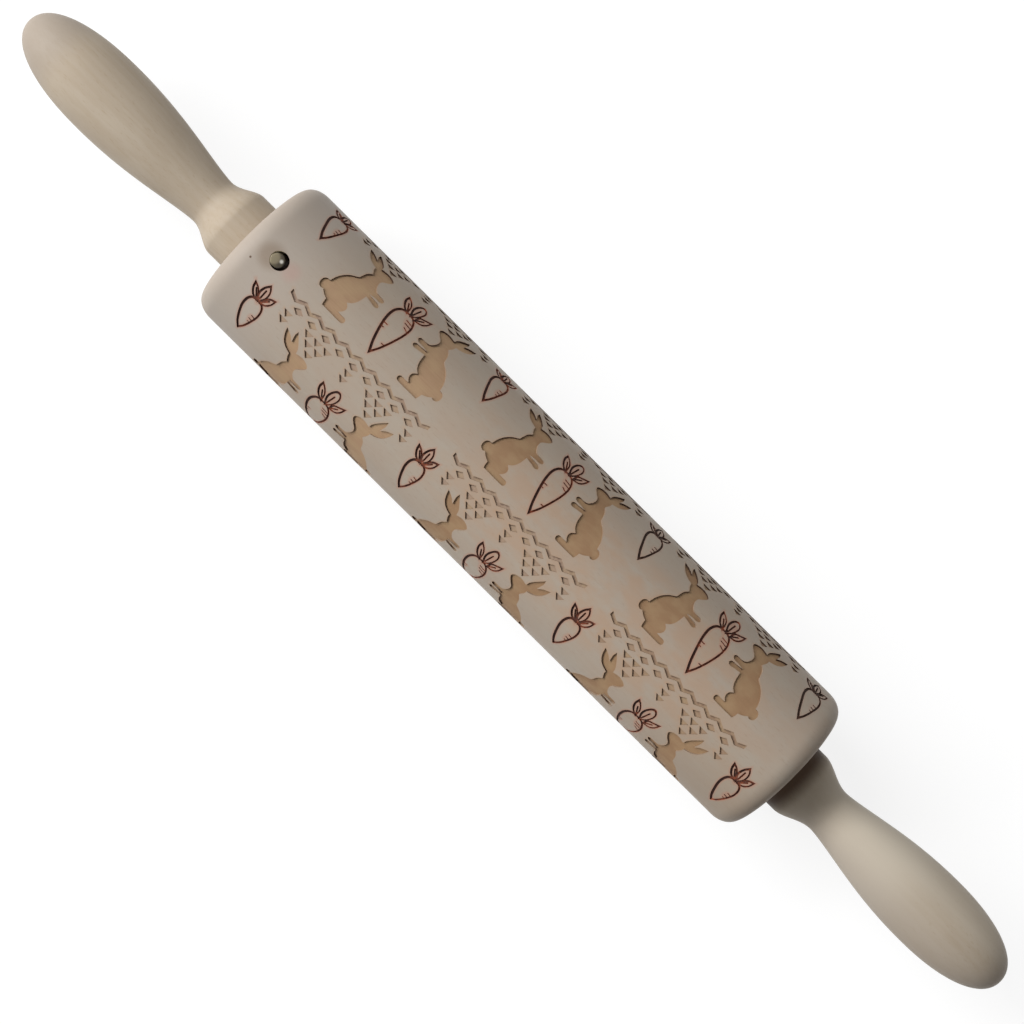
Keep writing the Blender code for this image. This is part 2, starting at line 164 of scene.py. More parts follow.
HALF_SMALL_ROOT = ((0.0, 14.5), (1.2, 16.8), (2.3, 20.2), (3.0, 23.3), (2.9, 25.8),
                   (2.1, 27.4), (0.9, 27.9))
SMALL_LEAVES = (
    ((-0.7, 27.8), (-2.4, 28.5), (-3.7, 30.2), (-4.1, 31.9), (-2.6, 31.2), (-1.4, 29.8)),
    ((0.1, 27.8), (-1.2, 30.2), (-0.9, 32.5), (0.2, 34.2), (1.3, 32.5), (1.4, 30.2)),
    ((1.0, 27.8), (1.6, 29.9), (2.8, 31.2), (4.2, 31.7), (3.8, 29.9), (2.6, 28.4)))
SMALL_VEINS = (((-1.0, 28.4), (-1.9, 29.6), (-2.8, 30.7)),
               ((0.1, 28.8), (0.1, 30.6), (0.1, 32.2)),
               ((1.3, 28.5), (2.1, 29.5), (2.9, 30.4)))
SMALL_NICKS = (((1.2, 21.1), (2.5, 20.9)), ((1.4, 19.8), (2.1, 19.7)),
               ((1.5, 22.5), (2.7, 22.3)))
ROOT_TIP_CORNER = {0}
LEAF_CORNERS = ({0, 3}, {0}, {0, 3})
SMALL_LEAF_CORNERS = ({0, 3}, {0, 3}, {0, 3})

# How much higher than drawn each small carrot stands, from left to right, in millimetres
SMALL_CARROT_LIFTS = (0.4, 0.7, 0.2, 0.5)

# Drawn lines: how far an outline's inner edge is shifted, in millimetres, the other widths
# and the nicks' depth as shares of a root's outline, and the least burn and painted shade of an
# edge
LINE_SHIFT = 0.1
LEAF_LINE_SHARE = 0.8
VEIN_LINE_SHARE = 0.75
NICK_LINE_SHARE = 0.5
NICK_DEPTH_SHARE = 0.4
LEAST_BURN_AND_SHADE = 0.06

# The border under a row of figures, in millimetres below the border's own line
ZIGZAG_PEAKS = 9
ZIGZAG_PITCH = 5.74
ZIGZAG_TOP = 1.4
ZIGZAG_RISE = 1.4
DIAMOND_DROP = 5.4
DIAMOND_HALF = (1.9, 1.15)
TRIANGLE_HALF_WIDTH = 1.7
TRIANGLE_HEIGHT = 2.0
TRIANGLE_ROWS = (
    (7.5, (-25.0, -16.4, -12.6, -8.7, 0.0, 8.7, 12.6, 16.4, 25.0)),
    (10.0, (-25.0, -14.5, -10.5, 0.0, 10.5, 14.5, 25.0)),
    (12.7, (-12.4, 12.4)))

# How far the figures have drifted along the barrel, in millimetres, at places along it
DRIFT = ((-106, -1.6), (-92, -1.15), (-66, -0.35), (-41, 0.40), (-3, 0.35), (10, 0.0),
         (35, -0.25), (60, 0.0), (85, -0.25), (106, 0.2))

Figure = namedtuple("Figure", "loops depth zone")

# Patterns of a finish. A grain is noise with features of this length along the wood and
# this width across it, in millimetres. Its pattern starts where the noise is low, and is
# full where it is high. Fibres, flecks and burnt grain are finer on the real wood, and are
# drawn as coarse as they need to be to show.
Grain = namedtuple("Grain", "length width detail shift low high", defaults=(0.0, 1.0))
BLOTCHES = Grain(22, 9, 3.0, 0.0, 0.42, 0.72)
STREAKS = Grain(40, 1.1, 3.0, 7.0, 0.45, 0.75)
FLECKS = Grain(2.6, 0.42, 1.0, 3.0, 0.62, 0.74)
BLUSH = Grain(9, 5, 3.0, 12.0, 0.25, 0.65)
BURNT_GRAIN = Grain(9, 0.5, 3.0, 2.0, 0.40, 0.70)
POCKET_BLOTCHES = Grain(6, 4, 2.0, 4.0, 0.35, 0.70)
BORDER_BLOTCHES = Grain(5, 4, 2.0, 4.0, 0.35, 0.70)
WALL_PATCHES = Grain(1.2, 0.8, 2.0, 0.0, 0.35, 0.75)
GROOVE_PATCHES = Grain(1.6, 1.6, 2.0, 6.0, 0.35, 0.70)
STEEL_PATCHES = Grain(0.9, 0.9, 3.0, 0.0, 0.40, 0.70)

# A stretch runs along an axis from where a tone is clear to where it is full, in
# millimetres. With a middle, it runs outwards from there, both ways.
Stretch = namedtuple("Stretch", "axis clear full middle", defaults=(None,))
HEART = (Stretch("X", -45, 5), Stretch("X", 125, 70), Stretch("Z", 45, 51))
COOLER_LINES = (Stretch("X", 22, 27, 76), Stretch("X", 20, 28), Stretch("Y", 10, 13))
HOTTER_POCKETS = (Stretch("X", -45, -5),)
HOTTER_BORDERS = (Stretch("X", 10, 70),)
BACK_WALLS = (Stretch("Y", 17, 22),)

# Tones laid over the wood, most of them painted light and painted shade: a colour of the
# finish, its share where it is full, and the stretches that hold it
Tone = namedtuple("Tone", "colour share stretches")
BARREL_TONES = (
    # Painted light: the barrel's left end, nearer the lamp, is painted paler
    Tone("barrel_painted_light", 0.65, (Stretch("X", -78, -104),)),
    # Painted shade: the barrel's right end is painted darker towards -Y
    Tone("barrel_grain_and_shade", 0.50, (Stretch("X", 40, 117), Stretch("Y", 4, -24))))
HANDLE_TONES = (
    # Painted light: the right handle's swelling, which faces the lamp, and its +Y side are
    # painted paler
    Tone("handle_painted_light", 0.80, (Stretch("X", 120, 150), Stretch("X", 188, 160))),
    Tone("handle_painted_light", 0.45, (Stretch("X", 120, 140), Stretch("Y", 1, 7))),
    # Painted shade on the right handle's -Y side; both noses are also painted darker and greyer
    Tone("handle_grey_and_shade", 0.50, (Stretch("X", 120, 140), Stretch("Y", 4, -9))),
    Tone("handle_grey_and_shade", 0.60, (Stretch("X", 201, 214, 0),)),
    Tone("handle_grey_and_shade", 0.60, (Stretch("X", -192, -203),)),
    # Painted shadow of the barrel's end on the right handle's collar, with soil, all round it
    Tone("handle_soil_and_shade", 0.90, (Stretch("X", 129, 123), Stretch("X", 0, 10))))

# Marks at a pin hole: a colour and its share, the place of the mark from the middle of the
# hole's mouth, and how far from that place it is full and then clear, in millimetres
Mark = namedtuple("Mark", "colour share place full clear")
# Painted shade of a shallow dip at the hole's -X side, which the mesh lacks, with soil
HOLE_MARKS = (Mark("hole_soil_and_shade", 0.55, (-2.8, -0.6, 0.0), 2.0, 6.0),
              Mark("hole_blush", 0.35, (4.9, -0.1, 0.0), 1.0, 4.5),
              Mark("wall_brown", 0.85, (-7.2, -5.3, -0.2), 0.2, 0.5))
# Painted light on the -X side of a hole's wall
LIT_HOLE_WALL = Mark("hole_wall_painted_light", 1.0, (-3.5, 0.3, 0.0), 3.0, 4.6)
# Painted light: where light falls into the hole, the pin's top shows its aged brown; outside this
# mark it is painted black as shade
LIT_STEEL_TOP = Mark("steel_brown", 1.0, (-0.75, -0.2, -0.6), 2.15, 2.75)
# Painted light on the pin's -X side, given as pale wood dust
DUSTY_AND_LIT_STEEL = Mark("steel_dust_and_light", 0.85, (-2.1, -0.5, -0.5), 1.5, 2.6)
# Painted highlight: a small spot of bright bare metal where the pin's glint shows
HIGHLIGHT_STEEL = Mark("steel", 1.0, (0.6, 0.3, -0.75), 0.40, 1.00)

# Bare beech: a shift in metres that puts the pith outside the wood, the shares of the
# growth rings and of the streaks, and its fibres with their height in millimetres and
# strength. At scale 1, a wave texture's rings lie one wave length apart.
Beech = namedtuple("Beech", "pith ring_share streak_share fibres height strength")
BARREL_BEECH = Beech((0.0, -0.046, -0.062), 0.05, 0.03, Grain(1.8, 0.4, 2.0, 5.0), 0.02, 0.4)
HANDLE_BEECH = Beech((0.0, 0.031, -0.052), 0.10, 0.14, Grain(3.0, 0.3, 2.0, 9.0), 0.03, 0.5)
RING_SPACING = 2.6 * MM
WAVE_LENGTH = 0.314
RING_STRETCH_SHARE = 0.08
BLOTCH_SHARE = 0.40
FLECK_SHARE = 0.20
FLECK_HEIGHT = 0.02
FLECK_STRENGTH = 0.4
BARE_WOOD_GLOSS = 0.12
SANDED_ROUGHNESS = (0.46, 0.56)
STEEL_ROUGHNESS = (0.30, 0.50)
OLIVE_SHARE = 0.5

# Shares that a pattern moves between: the blush outside and at the heart, and the wood
# reddened beside hot and beside cooler lines
BLUSH_SHARES = (0.15, 0.75)
SINGE_SHARES = (0.50, 0.20)

# Burning and painted shade: how brown the smoke and the painted shade make the wood beside a
# figure, the scorch and painted shade from which a wall and a line get darker and at which
# they are darkest, and how black and brown the lines become
SMOKE_SHARE = 0.45
CHARRED_AND_SHADED_WALL = (0.05, 0.55)
HOTTEST_AND_SHADED_LINE = (0.35, 0.95)
BLACK_SHARE = 0.75
BROWN_SHARE = 0.80

# Stage: its floor, the share of white that the camera sees there, and the camera's frame
WHITE = (1.0, 1.0, 1.0, 1.0)
FLOOR_WIDTH = 6.0
FLOOR_HEIGHT = -0.1 * MM
FLOOR_GLOW = 0.83
IMAGE_SIDE = 1024
CAMERA_SHIFT = (0.0111, -0.0246)
CAMERA_NEAR = 0.01
CAMERA_FAR = 20.0


# Colours, nodes and meshes

def linear(hex_colour):
    """An sRGB hex colour, such as 'ac9e92', as linear RGB with full alpha."""
    channels = [int(hex_colour[i:i + 2], 16) / 255 for i in (0, 2, 4)]
    return tuple(c / 12.92 if c <= 0.04045 else ((c + 0.055) / 1.055) ** 2.4
                 for c in channels) + (1.0,)


def add_node(tree, kind, settings=None, inputs=None):
    """Adds a node; an input takes a value, an output socket, or a node's first output."""
    made = tree.nodes.new(kind)
    for name, value in (settings or {}).items():
        setattr(made, name, value)
    for key, value in (inputs or {}).items():
        if isinstance(value, bpy.types.Node):
            value = value.outputs[0]
        if isinstance(value, bpy.types.NodeSocket):
            tree.links.new(value, made.inputs[key])
        else:
            made.inputs[key].default_value = value
    return made


def new_tree(name, inputs):
    """A Geometry Nodes tree with named inputs; returns it with its two end nodes."""
    tree = bpy.data.node_groups.new(name, "GeometryNodeTree")
    tree.interface.new_socket("Geometry", in_out="INPUT",
                              socket_type="NodeSocketGeometry")
    tree.interface.new_socket("Geometry", in_out="OUTPUT",
                              socket_type="NodeSocketGeometry")
    for label, kind in inputs:
        tree.interface.new_socket(label, in_out="INPUT", socket_type=kind)
    start = add_node(tree, "NodeGroupInput")
    end = add_node(tree, "NodeGroupOutput")
    return tree, start.outputs, end.inputs


def run_tree(mesh, tree, values):
    """Runs a tree on a mesh and returns what comes out as a plain mesh."""
    carrier = bpy.data.objects.new(mesh.name + "_blank", mesh)
    modifier = carrier.modifiers.new(tree.name, "NODES")
    modifier.node_group = tree
    for item in tree.interface.items_tree:
        if item.in_out == "INPUT" and item.name in values:
            modifier[item.identifier] = values[item.name]
    bpy.context.collection.objects.link(carrier)
    view = bpy.context.evaluated_depsgraph_get()
    result = bpy.data.meshes.new_from_object(carrier.evaluated_get(view))
    bpy.data.objects.remove(carrier)
    bpy.data.meshes.remove(mesh)
    return result


def face_outwards(mesh):
    """Welds what touches and turns every face of a closed mesh outwards."""
    builder = bmesh.new()
    builder.from_mesh(mesh)
    bmesh.ops.remove_doubles(builder, verts=builder.verts, dist=WELD)
    bmesh.ops.dissolve_degenerate(builder, edges=builder.edges, dist=WELD)
    bmesh.ops.recalc_face_normals(builder, faces=builder.faces)
    builder.to_mesh(mesh)
    builder.free()


def add_piece(name, mesh, body, nodes):
    """Puts a finished mesh in the scene as the piece that stands for CAD nodes."""
    mesh.name = name
    mesh.shade_smooth()
    mesh.set_sharp_from_angle(angle=math.radians(SHARP_ANGLE))
    piece = bpy.data.objects.new(name, mesh)
    bpy.context.collection.objects.link(piece)
    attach(piece, body)
    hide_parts(*nodes)
    return piece


# Turning on the lathe

def turning_tree():
    """Turns a profile, drawn as x and radius on x and z, into a round piece."""
    name = "turn_on_the_lathe"
    if name in bpy.data.node_groups:
        return bpy.data.node_groups[name]
    tree, given, result = new_tree(name, (("Sides", "NodeSocketInt"),
                                          ("Weld distance", "NodeSocketFloat"),
                                          ("Finish", "NodeSocketMaterial")))
    profile = add_node(tree, "GeometryNodeMeshToCurve", inputs={"Mesh": given["Geometry"]})
    place = add_node(tree, "ShaderNodeSeparateXYZ", inputs={
        "Vector": add_node(tree, "GeometryNodeInputPosition")}).outputs
    sized = add_node(tree, "GeometryNodeSetCurveRadius", inputs={
        "Curve": profile, "Radius": place["Z"]})
    on_axis = add_node(tree, "ShaderNodeCombineXYZ", inputs={"X": place["X"]})
    spindle = add_node(tree, "GeometryNodeSetPosition", inputs={
        "Geometry": sized, "Position": on_axis})
    circle = add_node(tree, "GeometryNodeCurvePrimitiveCircle", inputs={
        "Resolution": given["Sides"], "Radius": 1.0})
    turned = add_node(tree, "GeometryNodeCurveToMesh", inputs={
        "Curve": spindle, "Profile Curve": circle,
        "Scale": add_node(tree, "GeometryNodeInputRadius")})
    closed = add_node(tree, "GeometryNodeMergeByDistance", inputs={
        "Geometry": turned, "Distance": given["Weld distance"]})
    real = add_node(tree, "GeometryNodeRealizeInstances", inputs={"Geometry": closed})
    finished = add_node(tree, "GeometryNodeSetMaterial", inputs={
        "Geometry": real, "Material": given["Finish"]})
    tree.links.new(finished.outputs["Geometry"], result["Geometry"])
    return tree


def turn(name, profile, sides, material):
    """A closed mesh turned about X from (x, radius) points."""
    mesh = bpy.data.meshes.new(name)
    mesh.from_pydata([(x, 0.0, radius) for x, radius in profile],
                     [(i, i + 1) for i in range(len(profile) - 1)], [])
    result = run_tree(mesh, turning_tree(), {
        "Sides": sides, "Weld distance": WELD, "Finish": material})
    face_outwards(result)
    return result


def quarter_turn(steps):
    """Cosine and sine at even steps from 0 to 90 degrees."""
    angles = [math.pi / 2 * step / steps for step in range(steps + 1)]
    return [(math.cos(angle), math.sin(angle)) for angle in angles]


def on_axis_place(x):
    """Frame on the barrel's axis at x, not turned."""
    return Matrix.Translation((x, 0.0, AXIS_HEIGHT))


def radial_place(x, angle):
    """Frame whose +X points out of the barrel at x, turned from the top about +X."""
    stand_up = Matrix.Rotation(-math.pi / 2, 4, "Y")
    return on_axis_place(x) @ Matrix.Rotation(angle, 4, "X") @ stand_up


# Drawing the engraving on the unrolled barrel

def smooth_outline(points, corners):
    """A closed outline through the points, round everywhere but at the corners."""
    count = len(points)
    places = [Vector(point) for point in points]
    outline = []
    for here in range(count):
        there = (here + 1) % count
        start, end = places[here], places[there]
        run = end - start
        leave = run if here in corners else (end - places[here - 1]).normalized() * run.length
        arrive = (run if there in corners
                  else (places[(there + 1) % count] - start).normalized() * run.length)
        steps = max(2, round(run.length / OUTLINE_STEP))
        for step in range(steps):
            t = step / steps
            outline.append((2 * t ** 3 - 3 * t ** 2 + 1) * start
                           + (t ** 3 - 2 * t ** 2 + t) * leave
                           + (3 * t ** 2 - 2 * t ** 3) * end
                           + (t ** 3 - t ** 2) * arrive)
    return [tuple(point) for point in outline]


def split_edges(points):
    """The same closed outline, with its long edges cut into short ones."""
    outline = []
    for start, end in zip(points, points[1:] + points[:1]):
        start, end = Vector(start), Vector(end)
        steps = max(1, math.ceil((end - start).length / EDGE_STEP))
        outline += [tuple(start.lerp(end, step / steps)) for step in range(steps)]
    return outline


def offset_outline(points, width):
    """A closed outline moved sideways by a width, to its left where that is positive."""
    moved = []
    for index, here in enumerate(points):
        before, after = points[index - 1], points[(index + 1) % len(points)]
        first = (Vector(here) - Vector(before)).normalized()
        second = (Vector(after) - Vector(here)).normalized()
        normal = Vector((-first.y - second.y, first.x + second.x)).normalized()
        lean = max(normal.dot(Vector((-first.y, first.x))), MITRE_LIMIT)
        moved.append(tuple(Vector(here) + normal * width / lean))
    return moved


def line_round(points, corners, width):
    """Two outlines, outer and inner, that hold a line along a closed shape.

    The line is a little thicker at its left, where the beam burnt hotter.
    """
    outlines = [smooth_outline(offset_outline(points, side * width / 2), corners)
                for side in (-1, 1)]
    outer, inner = sorted(outlines, key=lambda loop: -abs(enclosed_area(loop)))
    return [outer, [(x + LINE_SHIFT, up) for x, up in inner]]


def pen_stroke(points, width):
    """A thin closed outline round an open line, pointed at both ends."""
    places = [Vector(point) for point in points]
    left, right = [], []
    for index, here in enumerate(places):
        before = places[max(index - 1, 0)]
        after = places[min(index + 1, len(places) - 1)]
        along = (after - before).normalized()
        across = Vector((-along.y, along.x)) * width / 2
        if index == 0:
            tail = here - along * width / 2
        if index == len(places) - 1:
            nose = here + along * width / 2
        left.append(tuple(here + across))
        right.append(tuple(here - across))
    return [tuple(tail)] + left + [tuple(nose)] + right[::-1]


def carrot_figures(half_root, leaves, leaf_corners, veins, nicks, engraving):
    """A carrot drawn in lines: its root, three leaves with a vein each, and nicks."""
    width = engraving.line_width / MM
    depth = engraving.groove_depth
    root = half_root + tuple((-x, up) for x, up in reversed(half_root[1:]))
    drawn = [line_round(root, ROOT_TIP_CORNER, width)]
    drawn += [line_round(leaf, corners, width * LEAF_LINE_SHARE)
              for leaf, corners in zip(leaves, leaf_corners)]
    drawn += [[pen_stroke(vein, width * VEIN_LINE_SHARE)] for vein in veins]
    figures = [Figure(loops, depth, GROOVE) for loops in drawn]
    figures += [Figure([pen_stroke(nick, width * NICK_LINE_SHARE)],
                       depth * NICK_DEPTH_SHARE, GROOVE) for nick in nicks]
    return figures


def border_loops(engraving):
    """The zigzag band, and the diamonds and triangles that hang under it."""
    half_width = engraving.zigzag_width / MM
    upper = []
    for half_step in range(-ZIGZAG_PEAKS - 1, ZIGZAG_PEAKS + 2):
        drop = ZIGZAG_TOP + ZIGZAG_RISE * (half_step % 2)
        upper.append((half_step * ZIGZAG_PITCH / 2, drop))
    loops = [upper + [(x, drop + half_width) for x, drop in reversed(upper)]]
    across, down = DIAMOND_HALF
    for peak in range(ZIGZAG_PEAKS):
        x = (peak - (ZIGZAG_PEAKS - 1) / 2) * ZIGZAG_PITCH
        loops.append([(x - across, DIAMOND_DROP), (x, DIAMOND_DROP + down),
                      (x + across, DIAMOND_DROP), (x, DIAMOND_DROP - down)])
    for top, places in TRIANGLE_ROWS:
        loops += [[(x - TRIANGLE_HALF_WIDTH, top), (x, top + TRIANGLE_HEIGHT),
                   (x + TRIANGLE_HALF_WIDTH, top)] for x in places]
    return loops


def drift(place):
    """How far a figure at this place has drifted, between the places that DRIFT gives."""
    for (start, before), (end, after) in zip(DRIFT, DRIFT[1:]):
        if place < end:
            share = max(0.0, (place - start) / (end - start))
            return before + (after - before) * share
    return DRIFT[-1][1]


def row_figures(engraving, pitch):
    """Every figure of one row, as outlines in metres on the row's own sheet."""
    foot = pitch - engraving.foot_gap

    def on_sheet(x, arc):
        return (x + drift(x / MM) * MM, arc)

    def standing(figure, middle, side=1, lift=0.0):
        return Figure([[on_sheet(middle + side * x * MM, foot - (up + lift) * MM)
                        for x, up in split_edges(loop)] for loop in figure.loops],
                      figure.depth, figure.zone)

    def hanging(loop, middle):
        return Figure([[on_sheet(middle + x * MM, down * MM)
                        for x, down in split_edges(loop)]],
                      engraving.border_depth, BORDER_FLOOR)

    rabbit = Figure([smooth_outline(RABBIT, RABBIT_CORNERS)],
                    engraving.pocket_depth, POCKET_FLOOR)
    carrot = carrot_figures(HALF_CARROT_ROOT, CARROT_LEAVES, LEAF_CORNERS, CARROT_VEINS,
                            CARROT_NICKS, engraving)
    small_carrot = carrot_figures(HALF_SMALL_ROOT, SMALL_LEAVES, SMALL_LEAF_CORNERS,
                                  SMALL_VEINS, SMALL_NICKS, engraving)
    border = border_loops(engraving)
    figures = []
    for cell in range(engraving.cells):
        middle = (cell - (engraving.cells - 1) / 2) * engraving.tile_length + engraving.shift
        figures += [standing(rabbit, middle, side) for side in (-1, 1)]
        figures += [standing(part, middle) for part in carrot]
        figures += [hanging(loop, middle) for loop in border]
    for post in range(engraving.cells + 1):
        middle = (post - engraving.cells / 2) * engraving.tile_length + engraving.shift
        lift = SMALL_CARROT_LIFTS[post % len(SMALL_CARROT_LIFTS)]
        figures += [standing(part, middle, lift=lift) for part in small_carrot]
    return figures


def enclosed_area(loop):
    """Area inside an outline; it is negative where the outline runs clockwise."""
    return sum(a[0] * b[1] - b[0] * a[1] for a, b in zip(loop, loop[1:] + loop[:1])) / 2


def is_sliver(loop):
    """Whether an outline is thinner than the weld: such faces lie along the sheet's rim."""
    longest = max(math.dist(a, b) for a, b in zip(loop, loop[1:] + loop[:1]))
    return abs(enclosed_area(loop)) * 2 < WELD * longest


def burn_and_shade_shares(loop):
    """How dark each point of an outline is: burnt all round, and darkest at its -X side, where
    painted shade stands for the shadow that the lamp leaves there.
    """
    side = math.copysign(1.0, enclosed_area(loop))
    shares = []
    for before, after in zip(loop[-1:] + loop[:-1], loop[1:] + loop[:1]):
        along = (Vector(after) - Vector(before)).normalized()
        shares.append(math.sqrt(max(LEAST_BURN_AND_SHADE, -along.y * side)))
    return shares


def nearest_tree(figures, zones, outer_only=False):
    """A search tree over the outline points of these zones, and how much burn and painted shade
    each takes.
    """
    loops = [loop for figure in figures if figure.zone in zones
             for loop in (figure.loops[:1] if outer_only else figure.loops)]
    shares = [share for loop in loops for share in burn_and_shade_shares(loop)]
    tree = KDTree(len(shares))
    for index, point in enumerate(point for loop in loops for point in loop):
        tree.insert((*point, 0.0), index)
    tree.balance()
    return tree, shares


def sheet_points(figures, barrel, engraving, pitch):
    """Points of one row's sheet: its rim, a fine grid, and a ring round each figure."""
    half = barrel.length / 2 - barrel.rim_length
    steps = barrel.steps_per_row
    columns = round(2 * half / engraving.grid_step)
    outlines, _ = nearest_tree(figures, (POCKET_FLOOR, BORDER_FLOOR, GROOVE))
    corner_columns = [-half + 2 * half * column / columns for column in range(columns + 1)]
    rim = [(x, 0.0) for x in corner_columns]
    rim += [(half, pitch * step / steps) for step in range(1, steps)]
    rim += [(x, pitch) for x in reversed(corner_columns)]
    rim += [(-half, pitch * step / steps) for step in range(steps - 1, 0, -1)]
    points = []

    def clear_of_outlines(point, gap):
        return outlines.find((*point, 0.0))[2] > gap

    halo = engraving.halo_width
    for figure in figures:
        for loop in figure.loops:
            for side in (-1, 1):
                for point in offset_outline(loop, side * halo):
                    if (abs(point[0]) < half - halo and halo < point[1] < pitch - halo
                            and clear_of_outlines(point, halo * RING_GAP_SHARE)):
                        points.append(point)
    ring = KDTree(len(points))
    for index, point in enumerate(points):
        ring.insert((*point, 0.0), index)
    ring.balance()
    for column, x in enumerate(corner_columns[1:-1]):
        for step in range(1, steps):
            stagger = GRID_STAGGER_SHARE * (column % 2 - 0.5)
            point = (x, pitch * (step + stagger) / steps)
            if (clear_of_outlines(point, halo * GRID_GAP_SHARE)
                    and ring.find((*point, 0.0))[2] > halo * GRID_GAP_SHARE):
                points.append(point)
    return rim, points


def cut_sheet(figures, rim, loose):
    """Cuts a sheet along every outline; returns its points, and each face's figure.

    A face has the deepest figure that holds it, or none where it stays up, as it does
    inside a second loop of the same figure.
    """
    points = rim + loose
    edges = [(i, (i + 1) % len(rim)) for i in range(len(rim))]
    outlines, owner_figure = [], []
    for number, figure in enumerate(figures):
        for loop in figure.loops:
            outlines.append(list(range(len(points), len(points) + len(loop))))
            owner_figure.append(number)
            points += loop if enclosed_area(loop) > 0 else loop[::-1]
    places, _, faces, _, _, owners = delaunay_2d_cdt(
        [Vector(point) for point in points], edges, outlines, 0, WELD, True)
    sunk = []
    for face, owner in zip(faces, owners):
        if not is_sliver([places[index] for index in face]):
            counts = Counter(owner_figure[outline] for outline in owner)
            odd = [figures[number] for number, count in counts.items() if count % 2]
            sunk.append((face, max(odd, key=lambda figure: figure.depth, default=None)))
    return places, sunk


def engraved_sheet(barrel, engraving, pitch):
    """One row of the barrel, unrolled: x, the way round, and the distance from the axis.

    What lies inside a figure is sunk, and walls join the levels. Each point knows how
    much the beam has scorched it, and how much painted shade it takes beside a figure's -X side.
    """
    figures = row_figures(engraving, pitch)
    places, sunk = cut_sheet(figures, *sheet_points(figures, barrel, engraving, pitch))
    builder = bmesh.new()
    zone = builder.faces.layers.int.new(ZONE)
    pocket_scorch, groove_scorch, line_char = [
        builder.verts.layers.float.new(name)
        for name in (POCKET_SCORCH_AND_SHADE, GROOVE_SCORCH, LINE_CHAR_AND_SHADE)]
    pocket_edges, burnt = nearest_tree(figures, (POCKET_FLOOR, BORDER_FLOOR))
    groove_edges, _ = nearest_tree(figures, (GROOVE,))
    line_edges, char_and_shade = nearest_tree(figures, (GROOVE,), outer_only=True)
    corners = {}

    def corner(index, depth):
        if (index, depth) not in corners:
            x, arc = places[index]
            made = builder.verts.new((x, arc, barrel.radius - depth))
            # Scorch beside a pocket, darkest at the figure's -X side as painted shade
            _, nearest, gap = pocket_edges.find((x, arc, 0.0))
            made[pocket_scorch] = burnt[nearest] * max(0.0, 1 - gap / engraving.halo_width)
            gap = groove_edges.find((x, arc, 0.0))[2]
            made[groove_scorch] = max(0.0, 1 - gap / engraving.halo_width)
            # Painted shade and char on a drawn line's -X side
            made[line_char] = char_and_shade[line_edges.find((x, arc, 0.0))[1]]
            corners[index, depth] = made
        return corners[index, depth]

    beside = {}
    levels = defaultdict(set)
    for face, figure in sunk:
        depth = figure.depth if figure else 0.0
        made = builder.faces.new([corner(index, depth) for index in face])
        made[zone] = figure.zone if figure else WOOD
        for start, end in zip(face, face[1:] + face[:1]):
            beside[start, end] = (depth, made[zone])
            levels[start].add(depth)
    for (start, end), (depth, floor_zone) in beside.items():
        top = beside.get((end, start), (depth, floor_zone))[0]
        if depth > top:
            sides = [[corner(index, level) for level in sorted(levels[index])
                      if top <= level <= depth] for index in (start, end)]
            wall = builder.faces.new(sides[0][::-1] + sides[1])
            wall[zone] = GROOVE if floor_zone == GROOVE else POCKET_WALL
    add_turned_ends(builder, barrel, pitch)
    for vertex in builder.verts:
        vertex.co.y += math.tan(engraving.skew) * vertex.co.x
    mesh = bpy.data.meshes.new("engraved_row")
    builder.to_mesh(mesh)
    builder.free()
    return mesh


def end_profile(barrel):
    """From the barrel's side round the rim, over the end face and into the bore."""
    end = barrel.length / 2
    rim = [(end - barrel.rim_length * (1 - cosine), barrel.radius - barrel.rim_depth * (1 - sine))
           for cosine, sine in reversed(quarter_turn(RIM_STEPS))]
    floor = end - barrel.bore_depth
    return rim + [(end, barrel.bore_radius + barrel.bore_chamfer),
                  (end - barrel.bore_chamfer, barrel.bore_radius),
                  (floor, barrel.bore_radius), (floor, 0.0)]


def add_turned_ends(builder, barrel, pitch):
    """Adds this row's share of both turned ends and of their bores to the sheet."""
    steps = barrel.steps_per_row
    for side in (-1, 1):
        rings = [[builder.verts.new((side * x, pitch * step / steps, radius))
                  for step in range(steps + 1)] for x, radius in end_profile(barrel)]
        for inner, outer in zip(rings[1:], rings):
            for step in range(steps):
                face = [inner[step], inner[step + 1], outer[step + 1], outer[step]]
                builder.faces.new(face if side > 0 else face[::-1])


